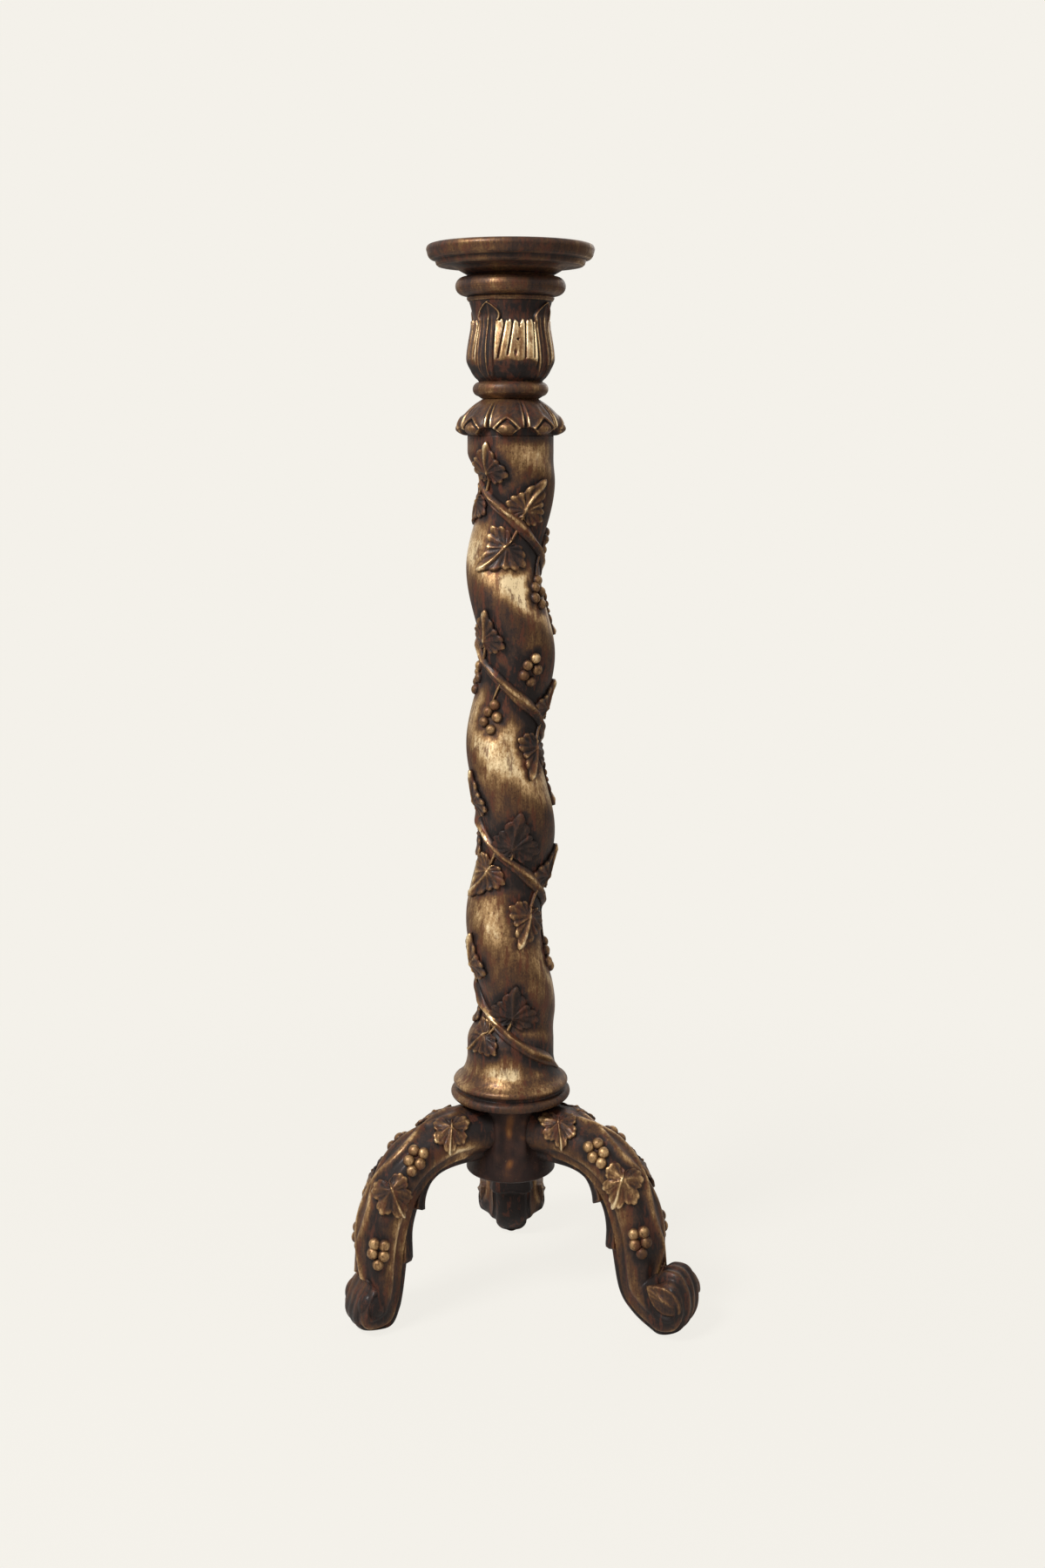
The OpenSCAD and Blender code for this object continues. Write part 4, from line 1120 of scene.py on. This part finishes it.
# The camera, level along +Y: place in metres, lens in millimetres, and the picture's shift down
EYE = (0.0137, -2.146, 0.985)
LENS = 42.92
SHIFT = -400 / 1800
# Lamps: name, place, what they are turned to, size in metres and power in watts
LAMPS = [
    ("key", (-1.45, -1.55, 2.6), (0, 0, 0.75), 0.8, 95),
    ("fill", (2.2, -1.8, 1.2), (0, 0, 0.6), 1.6, 3),
    ("back", (0.8, 2.4, 2.0), (0, 0, 0.6), 1.6, 12),
]
FLOOR_HALF = 30.0


def surround(world):
    """A pale surround, which gives the stand less than a quarter of the light it shows."""
    n = Nodes(world)
    seen = n.fill(n.tree.nodes["Background"], {0: SURROUND, 1: 1.0})[0]
    lit = n.add("Background", {0: SURROUND, 1: 0.22})[0]
    path = n.add("LightPath")
    share = path["Is Camera Ray"]
    for ray in ("Is Glossy Ray", "Is Transmission Ray"):
        share = n.maths("MAXIMUM", share, path[ray])
    n.join("World Output", share, lit, seen)


def stage():
    """The surround, the lamps and the camera."""
    scene = bpy.context.scene
    scene.view_settings.view_transform = "Standard"
    scene.world = bpy.data.worlds.new("studio")
    surround(scene.world)
    for name, where, aim, size, power in LAMPS:
        lamp = bpy.data.lights.new(name, "AREA")
        lamp.size = size
        lamp.energy = power
        obj = linked(name, lamp)
        obj.location = where
        toward = np.array(aim) - np.array(where)
        tip = math.acos(-toward[2] / np.linalg.norm(toward))
        obj.rotation_euler = (tip, 0, math.atan2(toward[0], -toward[1]) + math.pi)
    camera = bpy.data.cameras.new("camera")
    camera.lens = LENS
    camera.sensor_width = 36
    camera.shift_y = SHIFT
    eye = linked("camera", camera)
    eye.location = EYE
    eye.rotation_euler = (math.pi / 2, 0, 0)
    scene.camera = eye


def floor():
    """A wide floor, which takes a little shadow near the stand and shows the surround further out."""
    mesh = bpy.data.meshes.new("floor")
    s = FLOOR_HALF
    mesh.from_pydata([(-s, -s, 0), (s, -s, 0), (s, s, 0), (-s, s, 0)], [], [(0, 1, 2, 3)])
    n = Nodes(bpy.data.materials.new("pale_floor"))
    matt = n.surface(Base_Color=SURROUND, Roughness=0.9, Specular_IOR_Level=0.0)
    glow = n.add("Emission", {0: SURROUND})[0]
    distance = n.add("VectorMath", {0: n.add("TexCoord")["Object"]}, operation="LENGTH")["Value"]
    plain = n.range(distance, 0.3, 1.3, 0.93, 1.0)
    share = n.maths("MULTIPLY", plain, n.add("LightPath")["Is Camera Ray"])
    n.join("Material Output", share, matt, glow)
    mesh.materials.append(n.owner)
    obj = linked("floor", mesh)
    obj.location = (0, 0, -0.0005)


def build():
    """Makes every piece of the stand and dresses the hidden joinery."""
    gilt = aged_gilt("aged_gilt_turned", -0.25, 1.7)
    cup_gilt = aged_gilt("aged_gilt_cup", -0.06, 1.4)
    shaft_gilt = aged_gilt("aged_gilt_shaft", 0.0, red=0.75)
    leg_gilt = aged_gilt("aged_gilt_legs", -0.1, 1.1)
    leaf_gilt = aged_gilt("aged_gilt_leaves", 0.0)
    grape_gilt = aged_gilt("aged_gilt_grapes", -0.14, gloss=0.44)
    vine_gilt = aged_gilt("aged_gilt_vine", -0.08, 1.1, red=0.9)
    dish(gilt)
    neck_ring(gilt)
    capital(cup_gilt)
    knop_ring(gilt)
    collar(cup_gilt)
    vine_skin = vine()
    leaves = []
    for k, (share, off, size, tilt) in enumerate(COLUMN_LEAVES):
        z = COLUMN_Z + share * COLUMN_H
        a = vine_az(z) + off
        length = LEAF_LEN * size
        p, wear_and_light = leaf(column_face, a, z, 1, length, tilt, LEAF_T * 1.1, 100 + k)
        leaves.append((p, wear_and_light * (0.35 if k in DULL_LEAVES else 1)))
        leaves += stalk_to_vine(a, z, tilt, 0.4 * length, 1.7)
    bunches = []
    for k, (share, off) in enumerate(COLUMN_BUNCHES):
        z = COLUMN_Z + share * COLUMN_H
        a = vine_az(z) + off
        bunches += grapes(column_face, a, z, 1, GRAPE_R, 200 + k)
        bunches += stalk_to_vine(a, z, 0, 3.2 * GRAPE_R, 1.3)
    column(shaft_gilt, np.concatenate([sparse([vine_skin], 3, 5), sparse(leaves + bunches)]))
    piece("column_vine", [vine_skin], vine_gilt)
    piece("column_leaves", leaves, leaf_gilt)
    piece("column_grapes", bunches, grape_gilt)
    base_ring(gilt)
    hub(dark_bole("dark_bole"))
    for side in LEGS:
        leg(side, leg_gilt, leaf_gilt, grape_gilt)
    beech = bare_beech("beech")
    steel = dull_steel("steel")
    for name in ("leg_dowels", "tie_rod", "rod_nuts", "rod_washers"):
        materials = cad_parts[name].data.materials
        materials.clear()
        materials.append(beech if name == "leg_dowels" else steel)


stage()
floor()
build()
